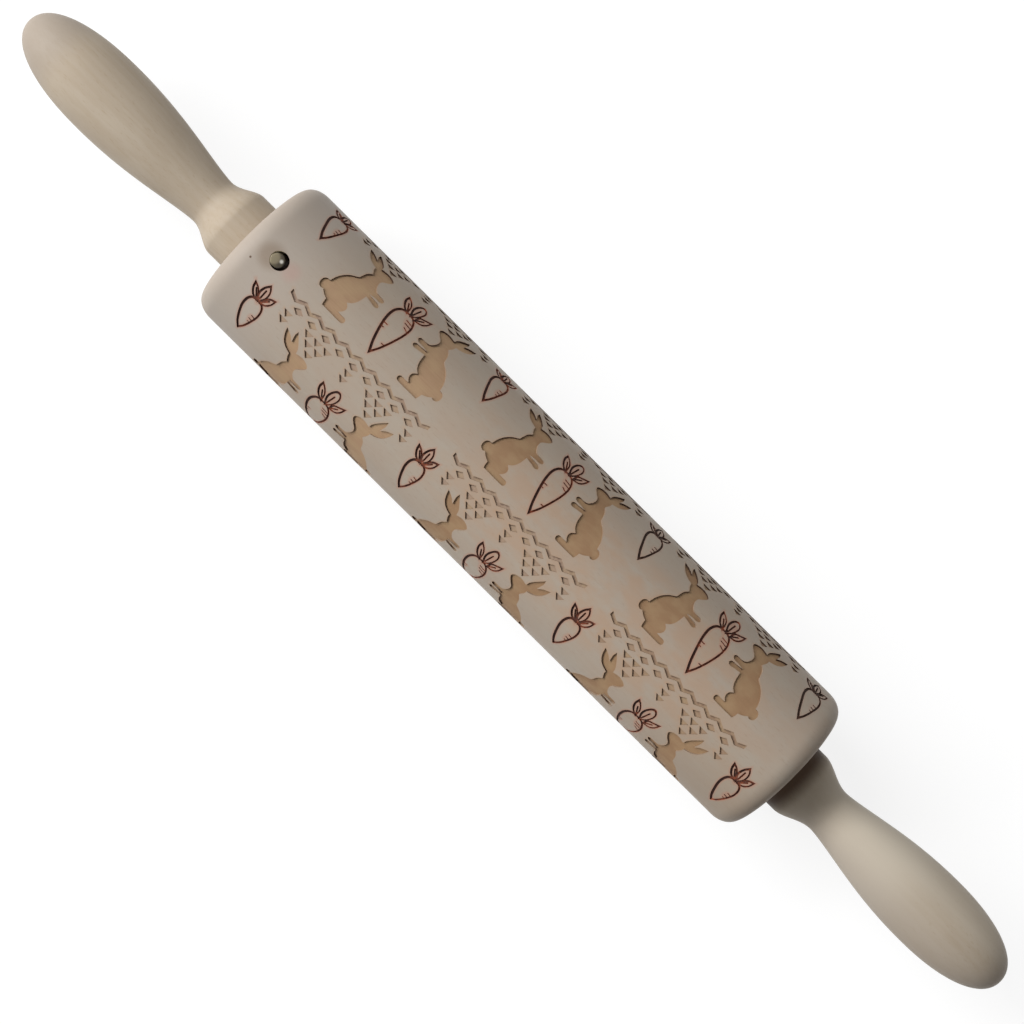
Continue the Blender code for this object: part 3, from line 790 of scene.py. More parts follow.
def wrapping_tree():
    """Repeats a row's sheet and rolls the rows up into one closed barrel."""
    tree, given, result = new_tree("roll_up_the_rows", (
        ("Rows", "NodeSocketInt"), ("Row pitch", "NodeSocketFloat"),
        ("Radius", "NodeSocketFloat"), ("Weld distance", "NodeSocketFloat"),
        *((label, "NodeSocketMaterial") for label in ZONE_LABELS)))
    next_row = add_node(tree, "ShaderNodeCombineXYZ", inputs={"Y": given["Row pitch"]})
    starts = add_node(tree, "GeometryNodeMeshLine", inputs={
        "Count": given["Rows"], "Offset": next_row})
    rows = add_node(tree, "GeometryNodeInstanceOnPoints", inputs={
        "Points": starts, "Instance": given["Geometry"]})
    real = add_node(tree, "GeometryNodeRealizeInstances", inputs={"Geometry": rows})
    place = add_node(tree, "ShaderNodeSeparateXYZ", inputs={
        "Vector": add_node(tree, "GeometryNodeInputPosition")}).outputs
    angle = add_node(tree, "ShaderNodeMath", {"operation": "DIVIDE"}, {
        0: place["Y"], 1: given["Radius"]})
    sideways, upwards = [
        add_node(tree, "ShaderNodeMath", {"operation": "MULTIPLY"}, {
            0: place["Z"],
            1: add_node(tree, "ShaderNodeMath", {"operation": wave}, {0: angle})})
        for wave in ("SINE", "COSINE")]
    across = add_node(tree, "ShaderNodeMath", {"operation": "MULTIPLY"}, {
        0: sideways, 1: -1.0})
    rolled = add_node(tree, "ShaderNodeCombineXYZ", inputs={
        "X": place["X"], "Y": across, "Z": upwards})
    round_barrel = add_node(tree, "GeometryNodeSetPosition", inputs={
        "Geometry": real, "Position": rolled})
    last = add_node(tree, "GeometryNodeMergeByDistance", inputs={
        "Geometry": round_barrel, "Distance": given["Weld distance"]})
    zone = add_node(tree, "GeometryNodeInputNamedAttribute", {"data_type": "INT"},
                    {"Name": ZONE})
    for number, label in enumerate(ZONE_LABELS):
        here = add_node(tree, "FunctionNodeCompare",
                        {"data_type": "INT", "operation": "EQUAL"}, {2: zone, 3: number})
        last = add_node(tree, "GeometryNodeSetMaterial", inputs={
            "Geometry": last, "Selection": here, "Material": given[label]})
    tree.links.new(last.outputs["Geometry"], result["Geometry"])
    return tree


# Wood, scorched wood and steel

def object_place(tree):
    """Place in the object's own coordinates."""
    return add_node(tree, "ShaderNodeTexCoord").outputs["Object"]


def grain_noise(tree, grain):
    """Noise drawn out along the wood."""
    sized = add_node(tree, "ShaderNodeMapping", inputs={
        "Vector": object_place(tree), "Location": [grain.shift] * 3,
        "Scale": [1 / (size * MM) for size in (grain.length, grain.width, grain.width)]})
    return add_node(tree, "ShaderNodeTexNoise", inputs={
        "Vector": sized, "Scale": 1.0, "Detail": grain.detail}).outputs["Fac"]


def overlap(tree, *steps):
    """1 where every value is high: each steps smoothly from 0 at low to 1 at high."""
    shared = None
    for value, low, high in steps:
        step = add_node(tree, "ShaderNodeMapRange", {"interpolation_type": "SMOOTHSTEP"},
                        {"Value": value, "From Min": low, "From Max": high})
        shared = step if shared is None else add_node(
            tree, "ShaderNodeMath", {"operation": "MULTIPLY"}, {0: shared, 1: step})
    return shared


def patches(tree, grain):
    """A grain as a pattern from 0 to 1."""
    return overlap(tree, (grain_noise(tree, grain), grain.low, grain.high))


def within(tree, stretches):
    """1 in the part of the object where every stretch is full."""
    axes = add_node(tree, "ShaderNodeSeparateXYZ", inputs={"Vector": object_place(tree)})
    steps = []
    for stretch in stretches:
        value = axes.outputs[stretch.axis]
        if stretch.middle is not None:
            past = add_node(tree, "ShaderNodeMath", {"operation": "SUBTRACT"},
                            {0: value, 1: stretch.middle * MM})
            value = add_node(tree, "ShaderNodeMath", {"operation": "ABSOLUTE"}, {0: past})
        steps.append((value, stretch.clear * MM, stretch.full * MM))
    return overlap(tree, *steps)


def at_mark(tree, mark, mouth):
    """1 round a mark's place beside the mouth of a hole."""
    gap = add_node(tree, "ShaderNodeVectorMath", {"operation": "DISTANCE"},
                   {0: object_place(tree), 1: (mouth + Vector(mark.place) * MM)[:]})
    return overlap(tree, (gap.outputs["Value"], mark.clear * MM, mark.full * MM))


def burnt(tree, name, low=None, high=None):
    """How much the beam has burnt this place, with painted shade where the attribute holds it,
    stepped from low to high if these are given.
    """
    share = add_node(tree, "ShaderNodeAttribute", {"attribute_name": name}).outputs["Fac"]
    return share if low is None else overlap(tree, (share, low, high))


def stain(tree, colour, pattern, share, other):
    """A colour mixed towards another one where a pattern is high, by a share of it."""
    amount = add_node(tree, "ShaderNodeMath", {"operation": "MULTIPLY"},
                      {0: pattern, 1: share})
    mixed = add_node(tree, "ShaderNodeMix", {"data_type": "RGBA"},
                     {0: amount, 6: colour, 7: other})
    return mixed.outputs[2]


def roughen(tree, shader, pattern, roughness):
    """Roughness that runs from one value to another with a pattern."""
    ranged = add_node(tree, "ShaderNodeMapRange", inputs={
        "Value": pattern, "To Min": roughness[0], "To Max": roughness[1]})
    tree.links.new(ranged.outputs["Result"], shader.inputs["Roughness"])


def raise_surface(tree, shader, *layers):
    """Bumps from patterns, each with its height in millimetres and its strength."""
    below = None
    for pattern, height, strength in layers:
        bump = add_node(tree, "ShaderNodeBump", inputs={
            "Height": pattern, "Distance": height * MM, "Strength": strength})
        if below:
            tree.links.new(below.outputs["Normal"], bump.inputs["Normal"])
        below = bump
    tree.links.new(below.outputs["Normal"], shader.inputs["Normal"])


def start_material(name, colour, roughness, metallic=0.0, gloss=0.5):
    """A material with one Principled shader, whose constants sit on its own sockets."""
    material = bpy.data.materials.new(name)
    material.use_nodes = True
    shader = material.node_tree.nodes["Principled BSDF"]
    for socket, value in (("Base Color", colour), ("Roughness", roughness),
                          ("Metallic", metallic), ("Specular IOR Level", gloss)):
        shader.inputs[socket].default_value = value
    material.diffuse_color = colour
    return material, material.node_tree, shader


def start_beech(name, wood, dark, pale, fleck, look):
    """Beech, turned and sanded: growth rings, blotches, streaks, flecks and fibres."""
    material, tree, shader = start_material(name, wood, roughness=max(SANDED_ROUGHNESS),
                                            gloss=BARE_WOOD_GLOSS)
    from_pith = add_node(tree, "ShaderNodeMapping", inputs={
        "Vector": object_place(tree), "Location": look.pith,
        "Scale": (RING_STRETCH_SHARE, 1.0, 1.0)})
    rings = add_node(tree, "ShaderNodeTexWave",
                     {"wave_type": "RINGS", "rings_direction": "X", "wave_profile": "SIN"},
                     {"Vector": from_pith, "Scale": WAVE_LENGTH / RING_SPACING,
                      "Distortion": 2.5, "Detail": 2.0, "Detail Scale": 0.6})
    streaks, flecks = patches(tree, STREAKS), patches(tree, FLECKS)
    colour = stain(tree, wood, rings.outputs["Fac"], look.ring_share, dark)
    colour = stain(tree, colour, patches(tree, BLOTCHES), BLOTCH_SHARE, pale)
    colour = stain(tree, colour, streaks, look.streak_share, dark)
    colour = stain(tree, colour, flecks, FLECK_SHARE, fleck)
    roughen(tree, shader, streaks, SANDED_ROUGHNESS)
    raise_surface(tree, shader, (grain_noise(tree, look.fibres), look.height, look.strength),
                  (flecks, FLECK_HEIGHT, FLECK_STRENGTH))
    return material, tree, shader, colour


def add_tones(tree, colour, finish, tones):
    """A colour with every tone laid over it in turn."""
    for tone in tones:
        colour = stain(tree, colour, within(tree, tone.stretches), tone.share,
                       getattr(finish, tone.colour))
    return colour


def make_barrel_beech(finish, mouths):
    """Sanded beech, bare: matt, greyish, faintly blotched, browned beside the burning, with
    painted light at its left end, and painted shade at its right end, beside the figures and
    at the pin holes.
    """
    material, tree, shader, colour = start_beech(
        "sanded_beech", finish.barrel_wood, finish.barrel_grain_and_shade, finish.barrel_pale,
        finish.barrel_fleck, BARREL_BEECH)
    blush_share, singe_share = [
        add_node(tree, "ShaderNodeMapRange", inputs={
            "Value": within(tree, stretches), "To Min": outside, "To Max": inside})
        for stretches, (outside, inside) in ((HEART, BLUSH_SHARES),
                                             (COOLER_LINES, SINGE_SHARES))]
    colour = stain(tree, colour, patches(tree, BLUSH), blush_share, finish.barrel_blush)
    # Painted light at the barrel's left end and painted shade at its right end
    colour = add_tones(tree, colour, finish, BARREL_TONES)
    # Wood browned beside a figure, with painted shade at the figure's -X side
    colour = stain(tree, colour, burnt(tree, POCKET_SCORCH_AND_SHADE), SMOKE_SHARE,
                   finish.pocket_stain_and_shade)
    colour = stain(tree, colour, burnt(tree, GROOVE_SCORCH), singe_share,
                   finish.groove_stain)
    # Marks round each pin hole: painted shade with soil, a blush and a knot
    for mouth in mouths:
        for mark in HOLE_MARKS:
            colour = stain(tree, colour, at_mark(tree, mark, mouth), mark.share,
                           getattr(finish, mark.colour))
    tree.links.new(colour, shader.inputs["Base Color"])
    return material


def make_handle_beech(finish):
    """Sanded beech, bare: matt, a little yellower than the barrel, with fine pores, and with
    painted light, painted shade and soil laid over it.
    """
    material, tree, shader, colour = start_beech(
        "turned_beech", finish.handle_wood, finish.handle_dark, finish.handle_pale,
        finish.handle_fleck, HANDLE_BEECH)
    # Painted light and shade, greyer noses, and the collar's painted shadow with soil
    colour = add_tones(tree, colour, finish, HANDLE_TONES)
    tree.links.new(colour, shader.inputs["Base Color"])
    return material


def make_burnt_floor(name, finish, wood, roughness, hotter, blotches, shares, edge, relief):
    """The floor of a figure: hotter at one end of the barrel, with raised grain lines.

    The shares are those of the heat, of the grain lines, of the blotches and of the edge,
    which browns between two values of the scorch; that edge is scorch, and painted shadow of
    the wall at the figure's -X side. The relief is a height and a strength.
    """
    material, tree, shader = start_material(name, wood, roughness)
    lines = patches(tree, BURNT_GRAIN)
    patterns = (within(tree, hotter), lines, patches(tree, blotches),
                burnt(tree, POCKET_SCORCH_AND_SHADE, *edge))
    colour = wood
    # The last pattern browns the floor's edge: scorch, and painted shadow at the figure's -X side
    for pattern, share, other in zip(patterns, shares, (
            finish.pocket_hot, finish.pocket_dark, finish.pocket_pale, finish.wall_brown)):
        colour = stain(tree, colour, pattern, share, other)
    tree.links.new(colour, shader.inputs["Base Color"])
    raise_surface(tree, shader, (lines, *relief))
    return material


def make_pocket_floor(finish):
    """Beech burnt away by a laser: toasted tan, with the grain standing out in lines."""
    return make_burnt_floor("laser_cut_beech", finish, finish.pocket_floor, roughness=0.78,
                            hotter=HOTTER_POCKETS, blotches=POCKET_BLOTCHES,
                            shares=(0.85, 0.22, 0.30, 0.80), edge=(0.45, 1.0),
                            relief=(0.04, 0.4))


def make_border_floor(finish):
    """Beech only singed: nearly as pale as the sanded wood, and a little pinker."""
    return make_burnt_floor("singed_beech", finish, finish.border_floor, roughness=0.74,
                            hotter=HOTTER_BORDERS, blotches=BORDER_BLOTCHES,
                            shares=(0.40, 0.25, 0.40, 0.85), edge=(0.20, 0.90),
                            relief=(0.05, 0.5))


def make_pocket_wall(finish):
    """The side of a pocket: brown char with painted shade at the figure's -X side, and painted
    light across from it.
    """
    material, tree, shader = start_material("charred_beech", finish.wall_painted_light,
                                            roughness=0.85)
    char = stain(tree, finish.wall_char_and_shade, patches(tree, WALL_PATCHES), 1.0, finish.wall_brown)
    # Painted shade on the walls at a figure's -X side, painted light on the walls across from it
    colour = stain(tree, finish.wall_painted_light, burnt(tree, POCKET_SCORCH_AND_SHADE, *CHARRED_AND_SHADED_WALL), 1.0,
                   char)
    colour = stain(tree, colour, within(tree, BACK_WALLS), 1.0, finish.wall_char_and_shade)
    tree.links.new(colour, shader.inputs["Base Color"])
    return material


def make_hole_wall(finish, mouths):
    """The side of a pin hole: drilled wood, painted black as the shade of a deep gap, and painted
    pale at its -X side as light falling in.
    """
    material, tree, shader = start_material("drilled_beech", finish.wall_char_and_shade,
                                            roughness=0.85)
    # Painted shade: the hole's wall is black, as the shade of its deep gap
    colour = finish.wall_char_and_shade
    # Painted light on the wall's -X side, where light falls in
    for mouth in mouths:
        colour = stain(tree, colour, at_mark(tree, LIT_HOLE_WALL, mouth), LIT_HOLE_WALL.share,
                       finish.hole_wall_painted_light)
    tree.links.new(colour, shader.inputs["Base Color"])
    return material


def make_groove(finish):
    """A line burnt deep and hot: reddish brown, and nearly black where painted shade falls on its
    -X side; matt.
    """
    material, tree, shader = start_material("burnt_groove", finish.groove_char,
                                            roughness=0.80)
    colour = stain(tree, finish.groove_char, patches(tree, GROOVE_PATCHES), 1.0,
                   finish.groove_red)
    # Painted shade: the -X side of a drawn line is painted near black, over its char
    colour = stain(tree, colour, burnt(tree, LINE_CHAR_AND_SHADE, *HOTTEST_AND_SHADED_LINE), BLACK_SHARE,
                   finish.groove_black)
    colour = stain(tree, colour, within(tree, COOLER_LINES), BROWN_SHARE,
                   finish.groove_brown)
    tree.links.new(colour, shader.inputs["Base Color"])
    return material


def make_pin_steel(finish, mouths):
    """Mild steel wire, cut and domed: brown with age on its top, with a spot of bright bare metal
    as a painted highlight, painted light as pale dust at its -X side, and painted shade black at
    its other sides.
    """
    material, tree, shader = start_material("aged_steel", finish.steel, roughness=0.30,
                                            metallic=1.0)
    aged = patches(tree, STEEL_PATCHES)
    face = stain(tree, finish.steel_brown, aged, OLIVE_SHARE, finish.steel_olive)
    # Painted shade: a pin is black at its sides, except where the lit mark clears it
    colour = finish.steel_painted_shade
    bare = 0.0
    for mouth in mouths:
        # The painted highlight spot, made of bare metal that reflects the white world
        rubbed = at_mark(tree, HIGHLIGHT_STEEL, mouth)
        for pattern, share, other in (
                (at_mark(tree, LIT_STEEL_TOP, mouth), LIT_STEEL_TOP.share, face),
                (at_mark(tree, DUSTY_AND_LIT_STEEL, mouth), DUSTY_AND_LIT_STEEL.share, finish.steel_dust_and_light),
                (rubbed, HIGHLIGHT_STEEL.share, finish.steel)):
            colour = stain(tree, colour, pattern, share, other)
        # Metallic only at the painted highlight spot
        bare = add_node(tree, "ShaderNodeMath", {"operation": "MAXIMUM"},
                        {0: bare, 1: rubbed})
    tree.links.new(colour, shader.inputs["Base Color"])
    tree.links.new(bare.outputs["Value"], shader.inputs["Metallic"])
    roughen(tree, shader, aged, STEEL_ROUGHNESS)
    return material


# Sizes and colours that a user may change

def length(name, value, description):
    return FloatProperty(name=name, description=description, default=value,
                         min=0.0, unit="LENGTH", precision=4)


def angle(name, degrees, description):
    return FloatProperty(name=name, description=description,
                         default=math.radians(degrees), unit="ROTATION")


def colour(name, hex_colour, description):
    return FloatVectorProperty(name=name, description=description, subtype="COLOR",
                               size=4, min=0.0, max=1.0, default=linear(hex_colour))


class BarrelSettings(bpy.types.PropertyGroup):
    """Sizes of the turned barrel."""
    length: length("Length", BARREL_LENGTH, "From end face to end face")
    radius: length("Radius", AXIS_HEIGHT, "From the axis to the side")
    rim_length: length("Rim length", 0.0063, "How far a rounded rim reaches along")
    rim_depth: length("Rim depth", 0.0040, "How far a rounded rim falls inwards")
    bore_radius: length("Bore radius", 0.0093, "Hole for a handle's spigot")
    bore_depth: length("Bore depth", 0.0420, "Depth of the spigot's hole")
    bore_chamfer: length("Bore chamfer", 0.0006, "Bevel at the bore's mouth")
    steps_per_row: IntProperty(name="Steps per row", default=48, min=8,
                               description="Flat steps round one row of figures")


class EngravingSettings(bpy.types.PropertyGroup):
    """Sizes of the engraving, which repeats along the barrel and round it."""
    rows: IntProperty(name="Rows", default=4, min=1,
                      description="Rows of figures round the barrel")
    cells: IntProperty(name="Tiles", default=3, min=1,
                       description="Tiles along the barrel")
    tile_length: length("Tile length", 0.06827, "From one tile's middle to the next")
    shift: length("Shift", 0.0029, "How far the figures sit right of the middle")
    skew: angle("Skew", 0.55, "How far the engraving winds off the barrel's axis")
    turn: angle("Turn", 0.75, "How far the engraving is turned about the barrel's axis")
    foot_gap: length("Foot gap", 0.00136, "From a row's line up to the figures' feet")
    pocket_depth: length("Pocket depth", 0.00055, "Depth of the rabbits")
    border_depth: length("Border depth", 0.00045, "Depth of the zigzag and what hangs there")
    groove_depth: length("Groove depth", 0.0006, "Depth of the drawn lines")
    line_width: length("Line width", 0.00075, "Width of a carrot's outline")
    zigzag_width: length("Zigzag width", 0.0013, "Width of the zigzag band")
    grid_step: length("Grid step", 0.0013, "Length of the mesh's faces on plain wood")
    halo_width: length("Stain width", 0.0007, "How far the burning browns the wood")


class HandleSettings(bpy.types.PropertyGroup):
    """Sizes of one turned handle, measured outwards from the barrel's end."""
    length: length("Length", LEFT_HANDLE_LENGTH, "From the barrel's end to the nose")
    collar_radius: length("Collar radius", 0.0124, "Thick ring beside the barrel")
    collar_length: length("Collar length", 0.0085, "Length of that ring")
    neck_radius: length("Neck radius", 0.00857, "Thinnest place")
    neck_place: length("Neck place", 0.0190, "How far out the thinnest place is")
    belly_radius: length("Belly radius", 0.01357, "Thickest place of the grip")
    belly_place: length("Belly place", 0.0655, "How far out the thickest place is")


class SpigotSettings(bpy.types.PropertyGroup):
    """The end of a handle inside the barrel, and the groove that holds it there."""
    radius: length("Radius", 0.0090, "Radius of the spigot")
    length: length("Length", 0.0400, "How far it reaches into the barrel")
    chamfer: length("Chamfer", 0.0010, "Bevel at its inner end")
    groove_radius: length("Groove radius", 0.0065, "Radius at the groove's bottom")
    groove_half: length("Groove half width", 0.0032, "Half of the groove's width")
    collar_gap: length("Collar gap", 0.0004, "Between the collar and the barrel")
    collar_chamfer: length("Collar chamfer", 0.0008, "Rounding at the collar's edge")
    sides: IntProperty(name="Sides", default=144, min=12,
                       description="Flat sides round a handle")


class PinSettings(bpy.types.PropertyGroup):
    """Steel pins that keep the handles in, and the holes that they stand in."""
    inset: length("Inset", 0.0130, "From the barrel's end to a pin's axis")
    hole_radius: length("Hole radius", 0.0030, "Radius of the drilled hole")
    hole_flare: length("Hole flare", 0.0002, "Wear at the hole's edge")
    radius: length("Pin radius", 0.0027, "Radius of a pin")
    top_radius: length("Top radius", 0.0024, "Radius of its worn top")
    shoulder: length("Shoulder", 0.0012, "Height of the slope below its top")
    top_shift: length("Top shift", 0.0005, "How far its top is knocked to one side")
    sink: length("Sink", 0.0006, "How far a pin's top lies under the wood")
    dome: length("Dome", 0.0003, "Height of its domed top")
    slant: FloatProperty(name="Slant", default=0.35, min=0.0,
                         description="Slope of its top, which is higher at one side")
    tip_chamfer: length("Tip chamfer", 0.0005, "Bevel at its tip")
    tip: length("Tip", 0.0068, "From the axis to its tip")
    lean: angle("Lean", 0.3, "How far a pin leans in the play of its hole")
    left_angle: angle("Left angle", -4.6, "Left pin, turned from the top")
    right_angle: angle("Right angle", -105.0, "Right pin, turned from the top")
    sides: IntProperty(name="Sides", default=64, min=12,
                       description="Flat sides round a pin")


class FinishSettings(bpy.types.PropertyGroup):
    """Colours of the woods, the burnt wood and the steel."""
    barrel_wood: colour("Barrel", "a89b8d", "Bare beech of the barrel")
    # The barrel's grain colour, also used as painted shade at the barrel's right end
    barrel_grain_and_shade: colour("Barrel grain", "938270", "Late wood and streaks")
    barrel_pale: colour("Barrel blotches", "aba396", "Paler blotches")
    # Painted light on the barrel's left end
    barrel_painted_light: colour("Barrel bleached", "ada399", "Greyed and bleached end")
    barrel_blush: colour("Barrel blush", "ac927c", "Pinker patches")
    barrel_fleck: colour("Barrel flecks", "8a705c", "Ray flecks")
    handle_wood: colour("Handle", "b1a391", "Bare beech of the handles")
    handle_dark: colour("Handle grain", "9c8768", "Late wood and streaks")
    handle_pale: colour("Handle blotches", "bdb1a0", "Paler blotches")
    # Greyer tone: painted shade on the right handle's -Y side, and darker noses
    handle_grey_and_shade: colour("Handle gripped", "a0958a", "Parts that hands have greyed")
    # Painted shadow of the barrel's end on the right collar, with soil
    handle_soil_and_shade: colour("Handle soiled", "3d2410", "Dark ring that rubs on the barrel")
    # Painted light on the right handle's swelling and its +Y side
    handle_painted_light: colour("Handle bleached", "c6bcac", "Part that light has bleached")
    handle_fleck: colour("Handle flecks", "8f7452", "Ray flecks")
    pocket_floor: colour("Pocket floor", "a08265", "Toasted floor of the rabbits")
    border_floor: colour("Border floor", "9c8573", "Singed floor of the borders")
    pocket_hot: colour("Pocket hot", "8d6d4e", "That floor where it is toasted more")
    pocket_dark: colour("Pocket lines", "86684a", "Grain lines on that floor")
    pocket_pale: colour("Pocket blotches", "ad9470", "Paler blotches on that floor")
    # Wood browned beside a figure, and painted shade at the figure's -X side
    pocket_stain_and_shade: colour("Pocket stain", "b08c6c", "Wood browned beside a figure")
    # Painted light: the walls that face the lamp
    wall_painted_light: colour("Wall pale", "9c8874", "Edge of a figure where it is hardly burnt")
    # Char, and painted shade: the dark side of a pocket wall and of a pin hole
    wall_char_and_shade: colour("Wall char", "3a2414", "Burnt edge of a figure")
    wall_brown: colour("Wall brown", "4e321e", "Paler patches of that edge")
    groove_char: colour("Groove char", "4a2214", "Dark parts of a drawn line")
    # Painted shade on the -X side of a drawn line, over its char
    groove_black: colour("Groove black", "24120b", "Hottest side of a drawn line")
    groove_brown: colour("Groove brown", "3b291d", "Lines that are burnt brown")
    groove_red: colour("Groove red", "874529", "Reddest parts of a drawn line")
    groove_stain: colour("Groove stain", "b07c66", "Wood reddened beside a line")
    # Painted shade of a shallow dip beside a pin hole, with soil
    hole_soil_and_shade: colour("Hole stain", "857361", "Wood soiled round a pin hole")
    hole_blush: colour("Hole blush", "b58e84", "Wood reddened beside a pin hole")
    # Painted light on the -X side of a pin hole's wall
    hole_wall_painted_light: colour("Hole worn", "b5a582", "Side of a pin hole that is worn pale")
    # Bright bare metal, used as the painted highlight spot on a pin's top
    steel: colour("Steel", "c4c0b6", "Steel of the pins where it is rubbed bright")
    steel_brown: colour("Steel brown", "4a4030", "Aged steel")
    steel_olive: colour("Steel olive", "6c6248", "Paler patches of the aged steel")
    # Painted shade at a pin's sides in its hole
    steel_painted_shade: colour("Steel black", "17100b", "Side of a pin deep in its hole")
    # Painted light on a pin's -X side, given as wood dust
    steel_dust_and_light: colour("Steel dusty", "9d9176", "Side of a pin that wood dust covers")


class StageSettings(bpy.types.PropertyGroup):
    """Where the camera stands, and the light."""
    camera_distance: length("Camera distance", 0.687, "From the barrel's axis")
    camera_foot: FloatProperty(name="Camera foot", default=-0.0063, unit="LENGTH",
                               description="Where the camera stands along the barrel")
    camera_lean: angle("Camera lean", 1.3, "How far the camera leans to the back")
    camera_turn: angle("Camera turn", 44.70, "How the barrel slopes in the picture")
    image_scale: length("Image scale", 0.3153 * MM, "Size of a pixel at the axis")
    key_power: FloatProperty(name="Key power", default=230.0, min=0.0, unit="POWER",
                             description="Power of the main lamp")
    key_length: length("Key length", 4.5, "Long side of the main lamp, round the barrel")
    key_width: length("Key width", 1.15, "Short side of the main lamp, along the barrel")
    key_distance: length("Key distance", 4.0, "From the barrel to the main lamp")
    key_lean: angle("Key lean", 51.0, "How far the main lamp leans to the left handle")
    key_turn: angle("Key turn", 17.0, "How far the main lamp leans to the front")
    sky: FloatProperty(name="Sky", default=0.23, min=0.0,
                       description="Strength of the even light from all sides")
    floor: colour("Floor", "c0c0c0", "Pale floor, as it lights the object")
    floor_seen: colour("Floor in view", "7c7c7c", "Share of the floor's white that shadow takes")


def group(kind, name):
    return PointerProperty(type=kind, name=name, description=kind.__doc__)


class RollingPinSettings(bpy.types.PropertyGroup):
    """All settings of the rolling pin."""
    barrel: group(BarrelSettings, "Barrel")
    engraving: group(EngravingSettings, "Engraving")
    left_handle: group(HandleSettings, "Left handle")
    right_handle: group(HandleSettings, "Right handle")
    spigot: group(SpigotSettings, "Spigots")
    pins: group(PinSettings, "Pins")
    finish: group(FinishSettings, "Finish")
    stage: group(StageSettings, "Stage")


# Pieces

def pin_hole_profile(barrel, pins):
    """Half outline of a pin-hole cutter, from the axis out past the barrel's side."""
    reach = barrel.radius + DRILL_OVERRUN
    edge = barrel.radius - pins.hole_flare
    flared = pins.hole_radius + pins.hole_flare + reach - barrel.radius
    return [(0.0, 0.0), (0.0, pins.hole_radius), (edge, pins.hole_radius),
            (reach, flared), (reach, 0.0)]


def pin_hole_places(barrel, pins):
    """Frame of each pin hole, left and right."""
    reach = barrel.length / 2 - pins.inset
    return (radial_place(BARREL_MIDDLE - reach, pins.left_angle),
            radial_place(BARREL_MIDDLE + reach, pins.right_angle))


def hole_mouths(barrel, places):
    """Middle of each hole's mouth on the barrel's side."""
    return [place @ Vector((barrel.radius, 0.0, 0.0)) for place in places]


def drill(mesh, cutters):
    """Cuts meshes out of another, and gives the cut faces the cutters' material."""
    block = bpy.data.objects.new("block", mesh)
    bpy.context.collection.objects.link(block)
    tools = []
    for cutter in cutters:
        tool = bpy.data.objects.new("drill", cutter)
        bpy.context.collection.objects.link(tool)
        tools.append(tool)
        cut = block.modifiers.new("drill", "BOOLEAN")
        cut.operation = "DIFFERENCE"
        cut.solver = "EXACT"
        cut.material_mode = "TRANSFER"
        cut.object = tool
    view = bpy.context.evaluated_depsgraph_get()
    result = bpy.data.meshes.new_from_object(block.evaluated_get(view))
    for used in [block] + tools:
        old = used.data
        bpy.data.objects.remove(used)
        bpy.data.meshes.remove(old)
    return result


class ROLLINGPIN_OT_make_barrel(bpy.types.Operator):
    """Makes the engraved beech barrel with its bores and pin holes"""
    bl_idname = "rollingpin.make_barrel"
    bl_label = "Engraved Barrel"

    def execute(self, context):
        settings = context.scene.rolling_pin
        barrel, engraving, pins = settings.barrel, settings.engraving, settings.pins
        finish = settings.finish
        pitch = math.tau * barrel.radius / engraving.rows
        holes = pin_hole_places(barrel, pins)
        mouths = hole_mouths(barrel, holes)
        hole_wall = make_hole_wall(finish, mouths)
        sheet = engraved_sheet(barrel, engraving, pitch)
        finishes = (make_barrel_beech(finish, mouths), make_pocket_floor(finish),
                    make_border_floor(finish), make_pocket_wall(finish), make_groove(finish))
        mesh = run_tree(sheet, wrapping_tree(), {
            "Rows": engraving.rows, "Row pitch": pitch, "Radius": barrel.radius,
            "Weld distance": WELD, **dict(zip(ZONE_LABELS, finishes))})
        face_outwards(mesh)
        mesh.transform(on_axis_place(BARREL_MIDDLE)
                       @ Matrix.Rotation(engraving.turn, 4, "X"))
        cutters = []
        for place in holes:
            cutter = turn("pin_hole", pin_hole_profile(barrel, pins), pins.sides, hole_wall)
            cutter.transform(place)
            cutters.append(cutter)
        mesh = drill(mesh, cutters)
        add_piece("barrel_engraved", mesh, "roller", ["barrel"])
        return {"FINISHED"}


def eased_run(start, end, steps, power):
    """Points of an S-curve from one (x, radius) up to another, which is left out."""
    points = []
    for share in (step / steps for step in range(steps)):
        eased = (1 - math.cos(math.pi * share ** power)) / 2
        points.append((start[0] + (end[0] - start[0]) * share,
                       start[1] + (end[1] - start[1]) * eased))
    return points


def handle_profile(handle, spigot, inset):
    """Spigot, collar, cove, neck, swelling belly and round nose of one handle."""
    near, far = inset - spigot.groove_half, inset + spigot.groove_half
    collar_edge = handle.collar_radius - spigot.collar_chamfer
    profile = [(-spigot.length, 0.0), (-spigot.length, spigot.radius - spigot.chamfer),
               (-spigot.length + spigot.chamfer, spigot.radius),
               (-far, spigot.radius), (-far, spigot.groove_radius),
               (-near, spigot.groove_radius), (-near, spigot.radius),
               (spigot.collar_gap, spigot.radius)]
    profile += [(spigot.collar_gap + spigot.collar_chamfer * (1 - cosine),
                 collar_edge + spigot.collar_chamfer * sine)
                for cosine, sine in quarter_turn(CHAMFER_STEPS)]
    collar = (handle.collar_length, handle.collar_radius)
    neck = (handle.neck_place, handle.neck_radius)
    belly = (handle.belly_place, handle.belly_radius)
    profile += eased_run(collar, neck, COVE_STEPS, COVE_POWER)
    profile += eased_run(neck, belly, SWELL_STEPS, SWELL_POWER)
    nose_run = handle.length - handle.belly_place
    profile += [(handle.belly_place + nose_run * sine ** (2 / NOSE_POWER),
                 handle.belly_radius * cosine ** (2 / NOSE_POWER))
                for cosine, sine in quarter_turn(NOSE_STEPS)[:-1]]
    return profile + [(handle.length, 0.0)]


